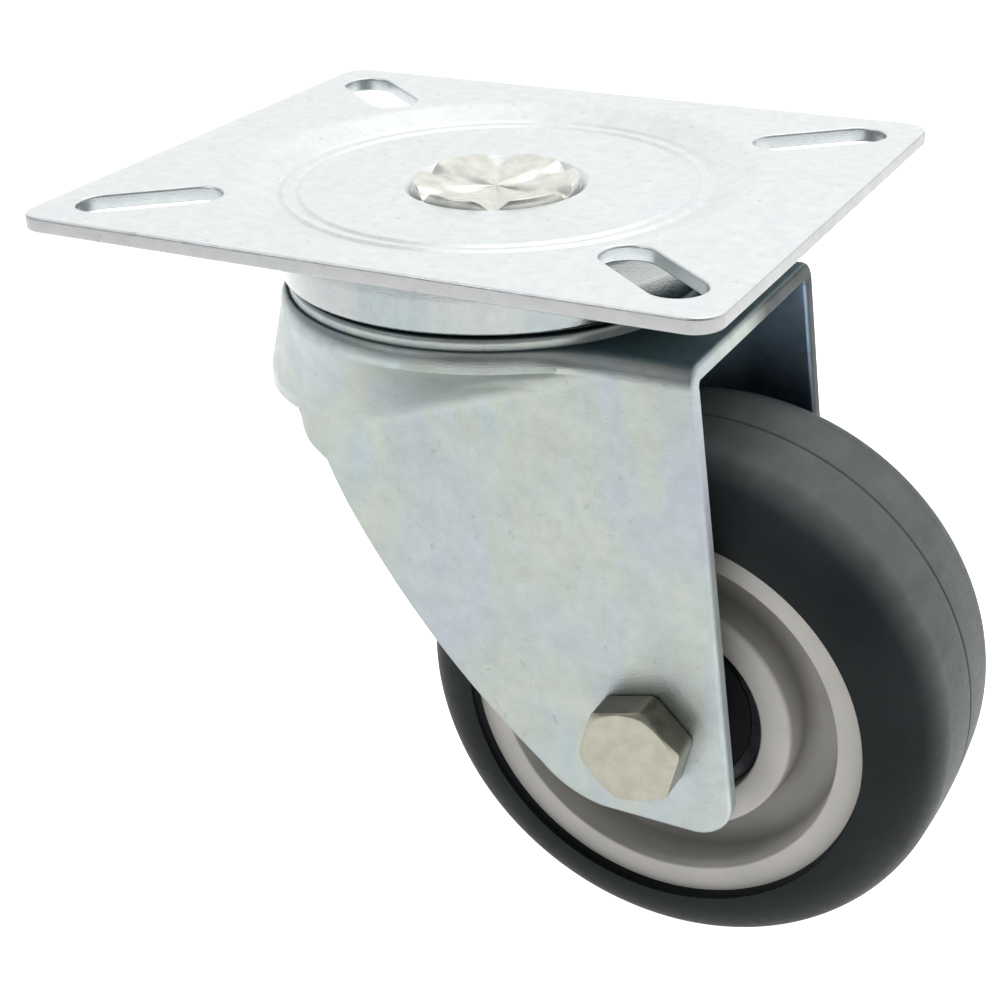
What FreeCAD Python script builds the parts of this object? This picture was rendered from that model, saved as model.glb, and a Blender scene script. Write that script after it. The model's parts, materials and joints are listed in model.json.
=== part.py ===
import FreeCAD, Part
import math
import os

# A light-duty swivel plate castor with a 75 mm wheel, in millimetres.
# Origin: centre of the plate's top mounting face, on the swivel axis.
# +Z is up, +X is the trail direction (towards the wheel), Y runs along the axle.

Vector = FreeCAD.Vector
UP = Vector(0, 0, 1)
ALONG_AXLE = Vector(0, 1, 0)

# ---- driving dimensions ----

# Top plate
PLATE_LENGTH = 93.0
PLATE_WIDTH = 81.0
SHEET_PLATE = 2.0
PLATE_CORNER = 3.5
SLOT_LENGTH = 18.5
SLOT_WIDTH = 7.0
SLOT_X = 34.5
SLOT_Y = 28.5
DISH_RADIUS = 32.0
DISH_FLOOR_RADIUS = 29.3
DISH_DEPTH = 1.9
DISH_MARGIN = 1.0
DISH_BULGE = 1.2
RING_LINE_RADIUS = 27.3
RING_LINE_HALF_WIDTH = 1.0
RING_LINE_DEPTH = 0.3
POCKET_RADIUS = 12.2
POCKET_DEPTH = 2.7
POCKET_WALL_RUN = 1.0

# Kingpin
PIN_NECK_RADIUS = 7.0
PIN_SHANK_RADIUS = 8.5
PIN_HEAD_RADIUS = 11.0
PIN_HEAD_TOP = -0.9
PIN_FLANGE_RADIUS = 12.0
PIN_FLANGE_THICKNESS = 2.0
PIN_FOOT_DIMPLE_RADIUS = 3.5
PIN_FOOT_DIMPLE_DEPTH = 1.6
PIN_DIMPLE_DEPTH = 0.9
STAR_ARMS = 6
STAR_TURN = -5.0
STAR_DEPTH = 1.5
STAR_HALF_WIDTH = 2.4
STAR_INNER_RADIUS = 2.0

# Swivel races and balls
UPPER_BALL_RADIUS = 3.5
UPPER_BALL_PITCH = 21.5
UPPER_BALL_COUNT = 18
LOWER_BALL_RADIUS = 2.5
LOWER_BALL_PITCH = 14.0
LOWER_BALL_COUNT = 16
BALL_CLEARANCE = 0.05
UPPER_TRACK_DEPTH = 0.6
LOWER_TRACK_DEPTH = 0.5
UPPER_RACE_RADIUS = 29.4
UPPER_RACE_BORE = 14.0
UPPER_RACE_WALL = 2.0
UPPER_RACE_BOTTOM = -12.3
LOWER_RACE_RADIUS = 19.0
LOWER_RACE_SHEET = 2.0

# Fork
SHEET_FORK = 2.5
FORK_HALF_WIDTH = 21.5
BEND_RADIUS = 2.5
CROWN_TOP = -14.4
LIP_TOP = -12.9
LIP_RADIUS = 28.2
LIP_WIDTH = 3.0
CROWN_BORE = 10.0
SHOULDER_RADIUS = 29.4
SHOULDER_BOTTOM = -17.0
SKIRT_CENTRE_X = -12.0
SKIRT_ROUND_Z = -28.0
SKIRT_BOTTOM = -30.2

# Axle and wheel
AXLE_X = 30.65
AXLE_Z = -67.43
WHEEL_RADIUS = 37.5
TYRE_HALF_WIDTH = 16.9
TYRE_SHOULDER = 9.0
TREAD_DROP = 0.3
RIM_RADIUS = 27.9
RIM_INNER_RADIUS = 24.35
RIM_HALF_WIDTH = 15.2
HUB_RADIUS = 17.9
HUB_HALF_WIDTH = 14.7
WEB_HALF_WIDTH = 8.0
HUB_LIP_RADIUS = 13.8
HUB_BORE = 11.0
BOLT_RADIUS = 4.0
BOLT_HOLE_RADIUS = 4.1
HEX_ACROSS_FLATS = 13.0
BOLT_HEAD_HEIGHT = 5.0
BOLT_HEAD_TURN = 15.6
BOLT_TIP = 31.0
NUT_HEIGHT = 8.0
NUT_HEX_HEIGHT = 5.6
NUT_TURN = 26.6
NUT_COLLAR_RADIUS = 5.9
NUT_MOUTH_RADIUS = 4.7
INSERT_RADIUS = 5.1
HEX_FLAT_MARGIN = 0.15
HEX_CHAMFER_RUN = 2.2
HEX_CHAMFER_DROP = 1.2
SLEEVE_RADIUS = 6.0
SLEEVE_BORE = 4.2

# Wheel bearings, 12 x 28 x 8
BEARING_OUTER_RADIUS = 14.0
BEARING_WIDTH = 8.0
BEARING_CENTRE_Y = 8.7
BEARING_PITCH = 10.2
BEARING_BALL_RADIUS = 2.38
BEARING_BALL_COUNT = 8
INNER_RING_RADIUS = 8.65
OUTER_RING_BORE = 11.75
BEARING_EDGE_ROUND = 0.3
CAGE_HALF_SHEET = 0.6
CAGE_FINGERS = 1.2
CAGE_BACK = 3.1
SEAL_THICKNESS = 0.7
SEAL_GAP = 0.1
SPACER_RADIUS = 8.2

# ---- derived dimensions ----

PLATE_UNDERSIDE = -SHEET_PLATE
DISH_UNDERSIDE = -DISH_DEPTH - SHEET_PLATE
POCKET_UNDERSIDE = -POCKET_DEPTH - SHEET_PLATE
CROWN_UNDERSIDE = CROWN_TOP - SHEET_FORK
DOME_UNDERSIDE = LIP_TOP - SHEET_FORK
CHEEK_INSIDE = FORK_HALF_WIDTH - SHEET_FORK
UPPER_BALL_Z = LIP_TOP - UPPER_TRACK_DEPTH + BALL_CLEARANCE + UPPER_BALL_RADIUS
UPPER_RACE_UNDERSIDE = UPPER_BALL_Z + UPPER_BALL_RADIUS + BALL_CLEARANCE - UPPER_TRACK_DEPTH
LOWER_BALL_Z = DOME_UNDERSIDE + LOWER_TRACK_DEPTH - BALL_CLEARANCE - LOWER_BALL_RADIUS
LOWER_RACE_FLOOR = LOWER_BALL_Z - LOWER_BALL_RADIUS - BALL_CLEARANCE + LOWER_TRACK_DEPTH
LOWER_RACE_UNDERSIDE = LOWER_RACE_FLOOR - LOWER_RACE_SHEET
BELOW_FORK = -90.0
BEHIND_FORK = 60.0


# ---- outlines ----

def corner_arc(previous, corner, following, radius):
    """Tangent points and middle of the arc that rounds one corner of an outline."""
    to_previous = (previous - corner).normalize()
    to_following = (following - corner).normalize()
    half_angle = to_previous.getAngle(to_following) / 2
    setback = radius / math.tan(half_angle)
    bisector = (to_previous + to_following).normalize()
    centre = corner + bisector * (radius / math.sin(half_angle))
    start = corner + to_previous * setback
    end = corner + to_following * setback
    middle = centre - bisector * radius
    return start, middle, end


def rounded_face(corners, place):
    """Face inside a closed outline of (u, v, corner radius) points set in space by place."""
    points = [place(u, v) for u, v, _ in corners]
    edges = []
    first_start = None
    last_end = None
    for index, (_, _, radius) in enumerate(corners):
        corner = points[index]
        if radius > 0:
            following = points[(index + 1) % len(points)]
            start, middle, end = corner_arc(points[index - 1], corner, following, radius)
        else:
            start, middle, end = corner, None, corner
        if last_end is None:
            first_start = start
        elif last_end.distanceToPoint(start) > 1e-6:
            edges.append(Part.makeLine(last_end, start))
        if middle is not None:
            edges.append(Part.Arc(start, middle, end).toShape())
        last_end = end
    if last_end.distanceToPoint(first_start) > 1e-6:
        edges.append(Part.makeLine(last_end, first_start))
    return Part.Face(Part.Wire(edges))


def in_plan(z):
    return lambda x, y: Vector(x, y, z)


def in_side_view(y):
    return lambda x, z: Vector(x, y, z)


def in_cross_section(x):
    return lambda y, z: Vector(x, y, z)


def swivel_ring(corners):
    """Solid turned about the swivel axis from (radius, z, corner radius) points."""
    return rounded_face(corners, in_side_view(0)).revolve(Vector(0, 0, 0), UP, 360)


def axle_ring(corners):
    """Solid turned about the axle from (radius, y, corner radius) points."""
    def place(radius, y):
        return Vector(AXLE_X + radius, y, AXLE_Z)
    return rounded_face(corners, place).revolve(Vector(AXLE_X, 0, AXLE_Z), ALONG_AXLE, 360)


def plain(points):
    return [(u, v, 0) for u, v in points]


def axle_tube(outer, inner, start_y, end_y):
    return axle_ring(plain([(inner, start_y), (outer, start_y), (outer, end_y), (inner, end_y)]))


def ball_groove(pitch, z, radius):
    """Ring-shaped cutter for a ball track about the swivel axis."""
    return Part.makeTorus(pitch, radius, Vector(0, 0, z), UP)


# ---- plate side ----

def slot_cutter(centre_x, centre_y):
    reach = SLOT_LENGTH / 2
    half = SLOT_WIDTH / 2
    end_radius = half - 0.01
    corners = [(-reach, -half, end_radius), (reach, -half, end_radius),
               (reach, half, end_radius), (-reach, half, end_radius)]
    cutter = rounded_face(corners, in_plan(1)).extrude(UP * -(SHEET_PLATE + 2))
    direction = math.degrees(math.atan2(centre_y, centre_x))
    cutter.rotate(Vector(0, 0, 0), UP, direction)
    cutter.translate(Vector(centre_x, centre_y, 0))
    return cutter


def top_plate():
    half_length = PLATE_LENGTH / 2
    half_width = PLATE_WIDTH / 2
    outline = [(-half_length, -half_width, PLATE_CORNER), (half_length, -half_width, PLATE_CORNER),
               (half_length, half_width, PLATE_CORNER), (-half_length, half_width, PLATE_CORNER)]
    sheet = rounded_face(outline, in_plan(0)).extrude(UP * -SHEET_PLATE)
    opening_radius = DISH_RADIUS + DISH_MARGIN
    sheet = sheet.cut(Part.makeCylinder(opening_radius, 10, Vector(0, 0, -5)))
    bulge_radius = DISH_FLOOR_RADIUS + DISH_BULGE
    dish = swivel_ring([
        (PIN_NECK_RADIUS, -POCKET_DEPTH, 0), (POCKET_RADIUS - POCKET_WALL_RUN, -POCKET_DEPTH, 0.5),
        (POCKET_RADIUS, -DISH_DEPTH, 0.6),
        (RING_LINE_RADIUS - RING_LINE_HALF_WIDTH, -DISH_DEPTH, 0.4),
        (RING_LINE_RADIUS, -DISH_DEPTH - RING_LINE_DEPTH, 0.4),
        (RING_LINE_RADIUS + RING_LINE_HALF_WIDTH, -DISH_DEPTH, 0.4),
        (DISH_FLOOR_RADIUS, -DISH_DEPTH, 0.8), (DISH_RADIUS, 0, 2.0),
        (opening_radius, 0, 0), (opening_radius, -SHEET_PLATE, 0),
        (DISH_RADIUS, -SHEET_PLATE, 0.4), (bulge_radius, DISH_UNDERSIDE, 2.0),
        (POCKET_RADIUS + 1.5, DISH_UNDERSIDE, 0.5), (POCKET_RADIUS, POCKET_UNDERSIDE, 0.5),
        (PIN_NECK_RADIUS, POCKET_UNDERSIDE, 0)])
    plate = sheet.fuse(dish).removeSplitter()
    for sign_x in (-1, 1):
        for sign_y in (-1, 1):
            plate = plate.cut(slot_cutter(sign_x * SLOT_X, sign_y * SLOT_Y))
    return plate


def star_groove(angle):
    """V groove that runs outwards and downwards across the staked head."""
    outside = PIN_HEAD_RADIUS + 1
    above = PIN_HEAD_TOP + 0.5
    inner = Vector(STAR_INNER_RADIUS, 0, PIN_HEAD_TOP - 0.1)
    points_out = [Vector(outside, -STAR_HALF_WIDTH, above), Vector(outside, STAR_HALF_WIDTH, above),
                  Vector(outside, 0, PIN_HEAD_TOP - STAR_DEPTH)]
    faces = [Part.Face(Part.makePolygon(points_out + points_out[:1]))]
    for index in range(3):
        start = points_out[index]
        end = points_out[(index + 1) % 3]
        faces.append(Part.Face(Part.makePolygon([start, end, inner, start])))
    groove = Part.makeSolid(Part.makeShell(faces))
    groove.rotate(Vector(0, 0, 0), UP, angle)
    return groove


def kingpin():
    flange_top = LOWER_RACE_UNDERSIDE
    foot = flange_top - PIN_FLANGE_THICKNESS
    pin = swivel_ring([
        (0, PIN_HEAD_TOP - PIN_DIMPLE_DEPTH, 0), (1.8, PIN_HEAD_TOP - 0.2, 0.5), (3.2, PIN_HEAD_TOP, 0.6),
        (PIN_HEAD_RADIUS - 2.5, PIN_HEAD_TOP - 0.2, 2.0), (PIN_HEAD_RADIUS, -POCKET_DEPTH + 0.9, 0.4),
        (PIN_HEAD_RADIUS - 0.3, -POCKET_DEPTH, 0), (PIN_NECK_RADIUS, -POCKET_DEPTH, 0),
        (PIN_NECK_RADIUS, POCKET_UNDERSIDE, 0), (PIN_SHANK_RADIUS, POCKET_UNDERSIDE, 0),
        (PIN_SHANK_RADIUS, flange_top, 0), (PIN_FLANGE_RADIUS, flange_top, 0),
        (PIN_FLANGE_RADIUS, foot, 0.8), (PIN_FOOT_DIMPLE_RADIUS, foot, 0.4),
        (0, foot + PIN_FOOT_DIMPLE_DEPTH, 0)])
    for arm in range(STAR_ARMS):
        pin = pin.cut(star_groove(STAR_TURN + arm * 360.0 / STAR_ARMS))
    return pin


def upper_race():
    """Pressed race ring under the plate: ball track inside, polished skirt outside."""
    outside = UPPER_RACE_RADIUS
    inside = outside - UPPER_RACE_WALL
    ring = swivel_ring([
        (UPPER_RACE_BORE, DISH_UNDERSIDE, 0), (outside - 0.4, DISH_UNDERSIDE, 1.2),
        (outside, DISH_UNDERSIDE - 4.0, 3.0), (outside - 0.5, UPPER_RACE_BOTTOM, 0.7),
        (inside - 0.5, UPPER_RACE_BOTTOM, 0.5), (inside, UPPER_RACE_UNDERSIDE, 1.0),
        (UPPER_RACE_BORE, UPPER_RACE_UNDERSIDE, 0.5)])
    track = ball_groove(UPPER_BALL_PITCH, UPPER_BALL_Z, UPPER_BALL_RADIUS + BALL_CLEARANCE)
    return ring.cut(track)


def lower_race():
    """Cup under the crown that the kingpin's flange carries."""
    outside = LOWER_RACE_RADIUS
    inside = outside - LOWER_RACE_SHEET
    rim = DOME_UNDERSIDE - 1.0
    cup = swivel_ring([
        (PIN_SHANK_RADIUS, LOWER_RACE_UNDERSIDE, 0), (outside, LOWER_RACE_UNDERSIDE, 3.0),
        (outside, rim, 0.4), (inside, rim, 0.4), (inside, LOWER_RACE_FLOOR, 1.0),
        (PIN_SHANK_RADIUS, LOWER_RACE_FLOOR, 0)])
    track = ball_groove(LOWER_BALL_PITCH, LOWER_BALL_Z, LOWER_BALL_RADIUS + BALL_CLEARANCE)
    return cup.cut(track)


def swivel_balls(name, count, pitch, z, radius):
    """Full complement of separate balls in one race of the swivel head."""
    balls = {}
    for index in range(count):
        angle = 2 * math.pi * index / count
        centre = Vector(pitch * math.cos(angle), pitch * math.sin(angle), z)
        balls["%s_%02d" % (name, index + 1)] = Part.makeSphere(radius, centre)
    return balls


# ---- fork ----

def fork_envelope(inset, top):
    """Outer form of the pressed fork, moved inwards by inset, from its top downwards."""
    half_width = FORK_HALF_WIDTH - inset
    front = SKIRT_CENTRE_X
    length = BEHIND_FORK - front
    bend = max(BEND_RADIUS - inset, 0.5)
    legs_section = [(-half_width, BELOW_FORK, 0), (half_width, BELOW_FORK, 0),
                    (half_width, top, bend), (-half_width, top, bend)]
    legs = rounded_face(legs_section, in_cross_section(front)).extrude(Vector(length, 0, 0))
    low_circle = Part.makeCircle(half_width, Vector(front, 0, SKIRT_ROUND_Z), UP)
    high_circle = Part.makeCircle(SHOULDER_RADIUS - inset, Vector(0, 0, SHOULDER_BOTTOM), UP)
    shoulder = Part.makeLoft([Part.Wire(low_circle), Part.Wire(high_circle)], True, True)
    skirt_height = SKIRT_ROUND_Z - BELOW_FORK
    skirt = Part.makeCylinder(half_width, skirt_height, Vector(front, 0, BELOW_FORK))
    crown = swivel_ring([
        (0, SHOULDER_BOTTOM, 0), (SHOULDER_RADIUS - inset, SHOULDER_BOTTOM, 0),
        (SHOULDER_RADIUS - inset, top, min(1.6, (top - SHOULDER_BOTTOM) * 0.9)), (0, top, 0)])
    return legs.fuse([shoulder, skirt, crown])


def fork_side_view():
    """Side outline of the cheeks and of the front skirt, in the XZ plane."""
    crown_rear = (36.0, -10.0)
    foot_rear_top = (43.15, -74.6)
    foot_rear_mid = (41.6, -78.9)
    foot_rear_low = (38.0, -80.4)
    foot_front_low = (25.0, -80.4)
    foot_front_mid = (19.8, -78.9)
    foot_front_top = (15.5, -75.7)
    edge_mid = (-3.6, -56.2)
    edge_top = (-16.4, -35.8)
    lobe_mid = (-19.6, -34.2)
    lobe_top = (-20.4, -31.6)
    notch = (-20.9, SKIRT_BOTTOM)
    skirt_front = (-45.0, SKIRT_BOTTOM)
    crown_front = (-45.0, -10.0)
    place = in_side_view(-40)

    def line(start, end):
        return Part.makeLine(place(*start), place(*end))

    def arc(start, middle, end):
        return Part.Arc(place(*start), place(*middle), place(*end)).toShape()

    edges = [
        line(crown_rear, foot_rear_top),
        arc(foot_rear_top, foot_rear_mid, foot_rear_low),
        line(foot_rear_low, foot_front_low),
        arc(foot_front_low, foot_front_mid, foot_front_top),
        arc(foot_front_top, edge_mid, edge_top),
        arc(edge_top, lobe_mid, lobe_top),
        line(lobe_top, notch),
        line(notch, skirt_front),
        line(skirt_front, crown_front),
        line(crown_front, crown_rear)]
    return Part.Face(Part.Wire(edges)).extrude(Vector(0, 80, 0))


def fork():
    envelope = fork_envelope(0, CROWN_TOP)
    hollow = fork_envelope(SHEET_FORK, CROWN_UNDERSIDE)
    shell = envelope.cut(hollow).common(fork_side_view())
    dome_inside = LIP_RADIUS - LIP_WIDTH
    lip_foot = CROWN_TOP - 0.5
    raised_race = swivel_ring([
        (CROWN_BORE, DOME_UNDERSIDE, 0), (dome_inside, DOME_UNDERSIDE, 0),
        (dome_inside, lip_foot, 0), (LIP_RADIUS, lip_foot, 0),
        (LIP_RADIUS, LIP_TOP, 0.7), (CROWN_BORE, LIP_TOP, 0.5)])
    throat = Part.makeCylinder(dome_inside, SHEET_FORK + 0.5, Vector(0, 0, DOME_UNDERSIDE), -UP)
    bore = Part.makeCylinder(CROWN_BORE, 10, Vector(0, 0, CROWN_TOP - 5))
    body = shell.fuse(raised_race).cut([throat, bore])
    upper_track = ball_groove(UPPER_BALL_PITCH, UPPER_BALL_Z, UPPER_BALL_RADIUS + BALL_CLEARANCE)
    lower_track = ball_groove(LOWER_BALL_PITCH, LOWER_BALL_Z, LOWER_BALL_RADIUS + BALL_CLEARANCE)
    axle_hole = Part.makeCylinder(BOLT_HOLE_RADIUS, 80, Vector(AXLE_X, -40, AXLE_Z), ALONG_AXLE)
    return body.cut([upper_track, lower_track, axle_hole]).removeSplitter()


# ---- axle ----

def hexagon(across_flats, start_y, end_y, turn):
    """Hexagonal prism along the axle; turn tilts its upper flat in degrees."""
    corner_radius = across_flats / math.sqrt(3)
    corners = []
    for index in range(6):
        angle = math.radians(turn + 60 * index)
        corners.append(Vector(AXLE_X + corner_radius * math.cos(angle), start_y,
                              AXLE_Z + corner_radius * math.sin(angle)))
    face = Part.Face(Part.makePolygon(corners + corners[:1]))
    return face.extrude(ALONG_AXLE * (end_y - start_y))


def chamfer_cone(across_flats, flat_y, deep_y):
    """Turned form that takes the corners off a hexagon's end face at flat_y."""
    inwards = math.copysign(1, deep_y - flat_y)
    flat_radius = across_flats / 2 - HEX_FLAT_MARGIN
    outside = flat_radius + HEX_CHAMFER_RUN
    return axle_ring(plain([(0, flat_y), (flat_radius, flat_y),
                            (outside, flat_y + inwards * HEX_CHAMFER_DROP),
                            (outside, deep_y), (0, deep_y)]))


def axle_bolt():
    head_inner = -FORK_HALF_WIDTH
    head_outer = head_inner - BOLT_HEAD_HEIGHT
    head = hexagon(HEX_ACROSS_FLATS, head_outer, head_inner, BOLT_HEAD_TURN)
    head = head.common(chamfer_cone(HEX_ACROSS_FLATS, head_outer, head_inner))
    shank = axle_ring([(0, head_inner - 1, 0), (BOLT_RADIUS, head_inner - 1, 0),
                       (BOLT_RADIUS, BOLT_TIP, 0.9), (0, BOLT_TIP, 0)])
    return head.fuse(shank).removeSplitter()


def insert_tube(bore):
    """Room of the nut's locking insert, or the insert itself when it has a bore."""
    start = FORK_HALF_WIDTH + NUT_HEX_HEIGHT - 0.4
    return axle_tube(INSERT_RADIUS, bore, start, FORK_HALF_WIDTH + NUT_HEIGHT - 0.5)


def axle_nut():
    """Hexagon with a plain collar that holds the locking insert."""
    seat = FORK_HALF_WIDTH
    hexagonal = hexagon(HEX_ACROSS_FLATS, seat, seat + NUT_HEX_HEIGHT, NUT_TURN)
    hexagonal = hexagonal.common(chamfer_cone(HEX_ACROSS_FLATS, seat + NUT_HEX_HEIGHT, seat))
    collar_start = seat + NUT_HEX_HEIGHT / 2
    collar = axle_ring([(0, collar_start, 0), (NUT_COLLAR_RADIUS, collar_start, 0),
                        (NUT_COLLAR_RADIUS, seat + NUT_HEIGHT, 1.2), (0, seat + NUT_HEIGHT, 0)])
    mouth = axle_tube(NUT_MOUTH_RADIUS, 0, seat + NUT_HEIGHT - 1, seat + NUT_HEIGHT + 1)
    bore = Part.makeCylinder(BOLT_RADIUS, 20, Vector(AXLE_X, seat - 1, AXLE_Z), ALONG_AXLE)
    return hexagonal.fuse(collar).cut([insert_tube(0), mouth, bore]).removeSplitter()


def axle_sleeve():
    return axle_tube(SLEEVE_RADIUS, SLEEVE_BORE, -CHEEK_INSIDE, CHEEK_INSIDE)


def spacer(side):
    """Collar between a bearing's inner ring and the fork's cheek."""
    bearing_face = BEARING_CENTRE_Y + BEARING_WIDTH / 2
    start, end = sorted((side * bearing_face, side * CHEEK_INSIDE))
    return axle_ring([(SLEEVE_RADIUS, start, 0), (SPACER_RADIUS, start, 0.4),
                      (SPACER_RADIUS, end, 0.4), (SLEEVE_RADIUS, end, 0)])


# ---- bearings ----

def bearing_track(side):
    """Ring-shaped cutter for the balls' groove of one wheel bearing."""
    centre = Vector(AXLE_X, side * BEARING_CENTRE_Y, AXLE_Z)
    return Part.makeTorus(BEARING_PITCH, BEARING_BALL_RADIUS + BALL_CLEARANCE, centre, ALONG_AXLE)


def bearing_ring(side, outer, inner):
    half = BEARING_WIDTH / 2
    centre = side * BEARING_CENTRE_Y
    corners = [(inner, centre - half), (outer, centre - half),
               (outer, centre + half), (inner, centre + half)]
    ring = axle_ring([(radius, y, BEARING_EDGE_ROUND) for radius, y in corners])
    return ring.cut(bearing_track(side))


def bearing_directions():
    """Unit vectors from the axle towards each ball of a wheel bearing."""
    directions = []
    for index in range(BEARING_BALL_COUNT):
        angle = 2 * math.pi * (index + 0.5) / BEARING_BALL_COUNT
        directions.append(Vector(math.cos(angle), 0, math.sin(angle)))
    return directions


def bearing_balls(side):
    middle = Vector(AXLE_X, side * BEARING_CENTRE_Y, AXLE_Z)
    return [Part.makeSphere(BEARING_BALL_RADIUS, middle + outwards * BEARING_PITCH)
            for outwards in bearing_directions()]


def bearing_cage(side):
    """Crown-shaped ribbon between the rings, with a round pocket through it for each ball."""
    centre = side * BEARING_CENTRE_Y
    start, end = sorted((centre - side * CAGE_FINGERS, centre + side * CAGE_BACK))
    cage = axle_tube(BEARING_PITCH + CAGE_HALF_SHEET, BEARING_PITCH - CAGE_HALF_SHEET, start, end)
    middle = Vector(AXLE_X, centre, AXLE_Z)
    pocket_radius = BEARING_BALL_RADIUS + BALL_CLEARANCE
    pockets = [Part.makeCylinder(pocket_radius, BEARING_PITCH + 2, middle, outwards)
               for outwards in bearing_directions()]
    return cage.cut(pockets)


def bearing_seal(side, outward):
    """Thin rubber ring that closes one face of a bearing."""
    face = side * BEARING_CENTRE_Y + outward * BEARING_WIDTH / 2
    start, end = sorted((face, face - outward * SEAL_THICKNESS))
    return axle_tube(OUTER_RING_BORE, INNER_RING_RADIUS + SEAL_GAP, start, end)


# ---- wheel ----

def mirrored_about_middle(points):
    """Outline points of the near half, then the same points mirrored to the far half."""
    return points + [(radius, -y, corner) for radius, y, corner in reversed(points)]


def wheel_core():
    """Moulded centre: hub, web with a dished groove on each face, and rim."""
    seat_end = BEARING_CENTRE_Y + BEARING_WIDTH / 2
    seat_start = BEARING_CENTRE_Y - BEARING_WIDTH / 2
    outside = [
        (RIM_RADIUS, -RIM_HALF_WIDTH, 0), (RIM_INNER_RADIUS, -RIM_HALF_WIDTH, 0.25),
        (RIM_INNER_RADIUS - 0.8, -WEB_HALF_WIDTH, 2.2), (HUB_RADIUS + 0.6, -WEB_HALF_WIDTH, 2.2),
        (HUB_RADIUS, -HUB_HALF_WIDTH, 0.5), (HUB_LIP_RADIUS, -HUB_HALF_WIDTH, 0.2),
        (HUB_LIP_RADIUS, -seat_end, 0), (BEARING_OUTER_RADIUS, -seat_end, 0),
        (BEARING_OUTER_RADIUS, -seat_start, 0), (HUB_BORE, -seat_start, 0)]
    return axle_ring(mirrored_about_middle(outside))


def tyre():
    """Tyre moulded round the core, with full round shoulders and a slightly domed tread."""
    tread_edge = WHEEL_RADIUS - TREAD_DROP
    shoulder_y = TYRE_HALF_WIDTH - TYRE_SHOULDER
    shoulder_r = tread_edge - TYRE_SHOULDER
    diagonal = TYRE_SHOULDER * math.sqrt(0.5)

    def place(radius, y):
        return Vector(AXLE_X + radius, y, AXLE_Z)

    def side_edges(side):
        foot = place(RIM_RADIUS, side * RIM_HALF_WIDTH)
        heel = place(RIM_RADIUS + 0.3, side * (RIM_HALF_WIDTH + 0.6))
        wall = place(shoulder_r, side * TYRE_HALF_WIDTH)
        turn = place(shoulder_r + diagonal, side * (shoulder_y + diagonal))
        tread = place(tread_edge, side * shoulder_y)
        return [Part.makeLine(foot, heel), Part.makeLine(heel, wall),
                Part.Arc(wall, turn, tread).toShape()]

    near = side_edges(-1)
    far = side_edges(1)
    crown = Part.Arc(place(tread_edge, -shoulder_y), place(WHEEL_RADIUS, 0),
                     place(tread_edge, shoulder_y)).toShape()
    seat = Part.makeLine(place(RIM_RADIUS, RIM_HALF_WIDTH), place(RIM_RADIUS, -RIM_HALF_WIDTH))
    outline = Part.Wire(Part.__sortEdges__(near + [crown] + far + [seat]))
    return Part.Face(outline).revolve(Vector(AXLE_X, 0, AXLE_Z), ALONG_AXLE, 360)


# ---- all pieces ----

def sided_pieces():
    """The bearing pieces and spacers on the near side (-Y) and on the far side (+Y)."""
    pieces = {}
    for side, name in ((-1, "near"), (1, "far")):
        pieces["spacer_" + name] = spacer(side)
        pieces["bearing_inner_" + name] = bearing_ring(side, INNER_RING_RADIUS, SLEEVE_RADIUS)
        pieces["bearing_outer_" + name] = bearing_ring(side, BEARING_OUTER_RADIUS, OUTER_RING_BORE)
        pieces["bearing_balls_" + name] = Part.makeCompound(bearing_balls(side))
        pieces["bearing_cage_" + name] = bearing_cage(side)
        pieces["seal_outer_" + name] = bearing_seal(side, side)
        pieces["seal_inner_" + name] = bearing_seal(side, -side)
    return pieces


def all_pieces():
    pieces = {
        "top_plate": top_plate(),
        "kingpin": kingpin(),
        "upper_race": upper_race(),
        "lower_race": lower_race(),
        "fork": fork(),
        "axle_bolt": axle_bolt(),
        "axle_nut": axle_nut(),
        "nut_insert": insert_tube(BOLT_RADIUS),
        "axle_sleeve": axle_sleeve(),
        "wheel_core": wheel_core(),
        "tyre": tyre()}
    pieces.update(swivel_balls("upper_ball", UPPER_BALL_COUNT, UPPER_BALL_PITCH,
                               UPPER_BALL_Z, UPPER_BALL_RADIUS))
    pieces.update(swivel_balls("lower_ball", LOWER_BALL_COUNT, LOWER_BALL_PITCH,
                               LOWER_BALL_Z, LOWER_BALL_RADIUS))
    pieces.update(sided_pieces())
    return pieces


os.makedirs("parts", exist_ok=True)
for node, shape in all_pieces().items():
    shape.exportStep("parts/%s.step" % node)
    print("%-20s volume %9.1f  valid %s  solids %d" % (
        node, shape.Volume, shape.isValid(), len(shape.Solids)))
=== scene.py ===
import bmesh
import bpy
import json
from math import acos, atan2, cos, exp, hypot, pi, radians, sin, sqrt, tan
from mathutils import Matrix, Vector


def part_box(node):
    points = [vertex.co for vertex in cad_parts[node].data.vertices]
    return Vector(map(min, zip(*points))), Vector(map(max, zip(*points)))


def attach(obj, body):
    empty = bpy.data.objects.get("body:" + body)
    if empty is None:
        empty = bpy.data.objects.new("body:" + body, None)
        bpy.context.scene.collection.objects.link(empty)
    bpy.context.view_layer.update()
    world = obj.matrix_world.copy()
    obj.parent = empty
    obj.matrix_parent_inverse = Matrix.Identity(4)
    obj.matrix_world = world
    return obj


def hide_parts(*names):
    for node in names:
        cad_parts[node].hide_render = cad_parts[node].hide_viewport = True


# A light-duty swivel plate castor. Shapes are worked out in millimetres and made in metres.
# +Z is up, +X is the trail direction, Y runs along the axle, -Y is the near cheek.

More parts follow.
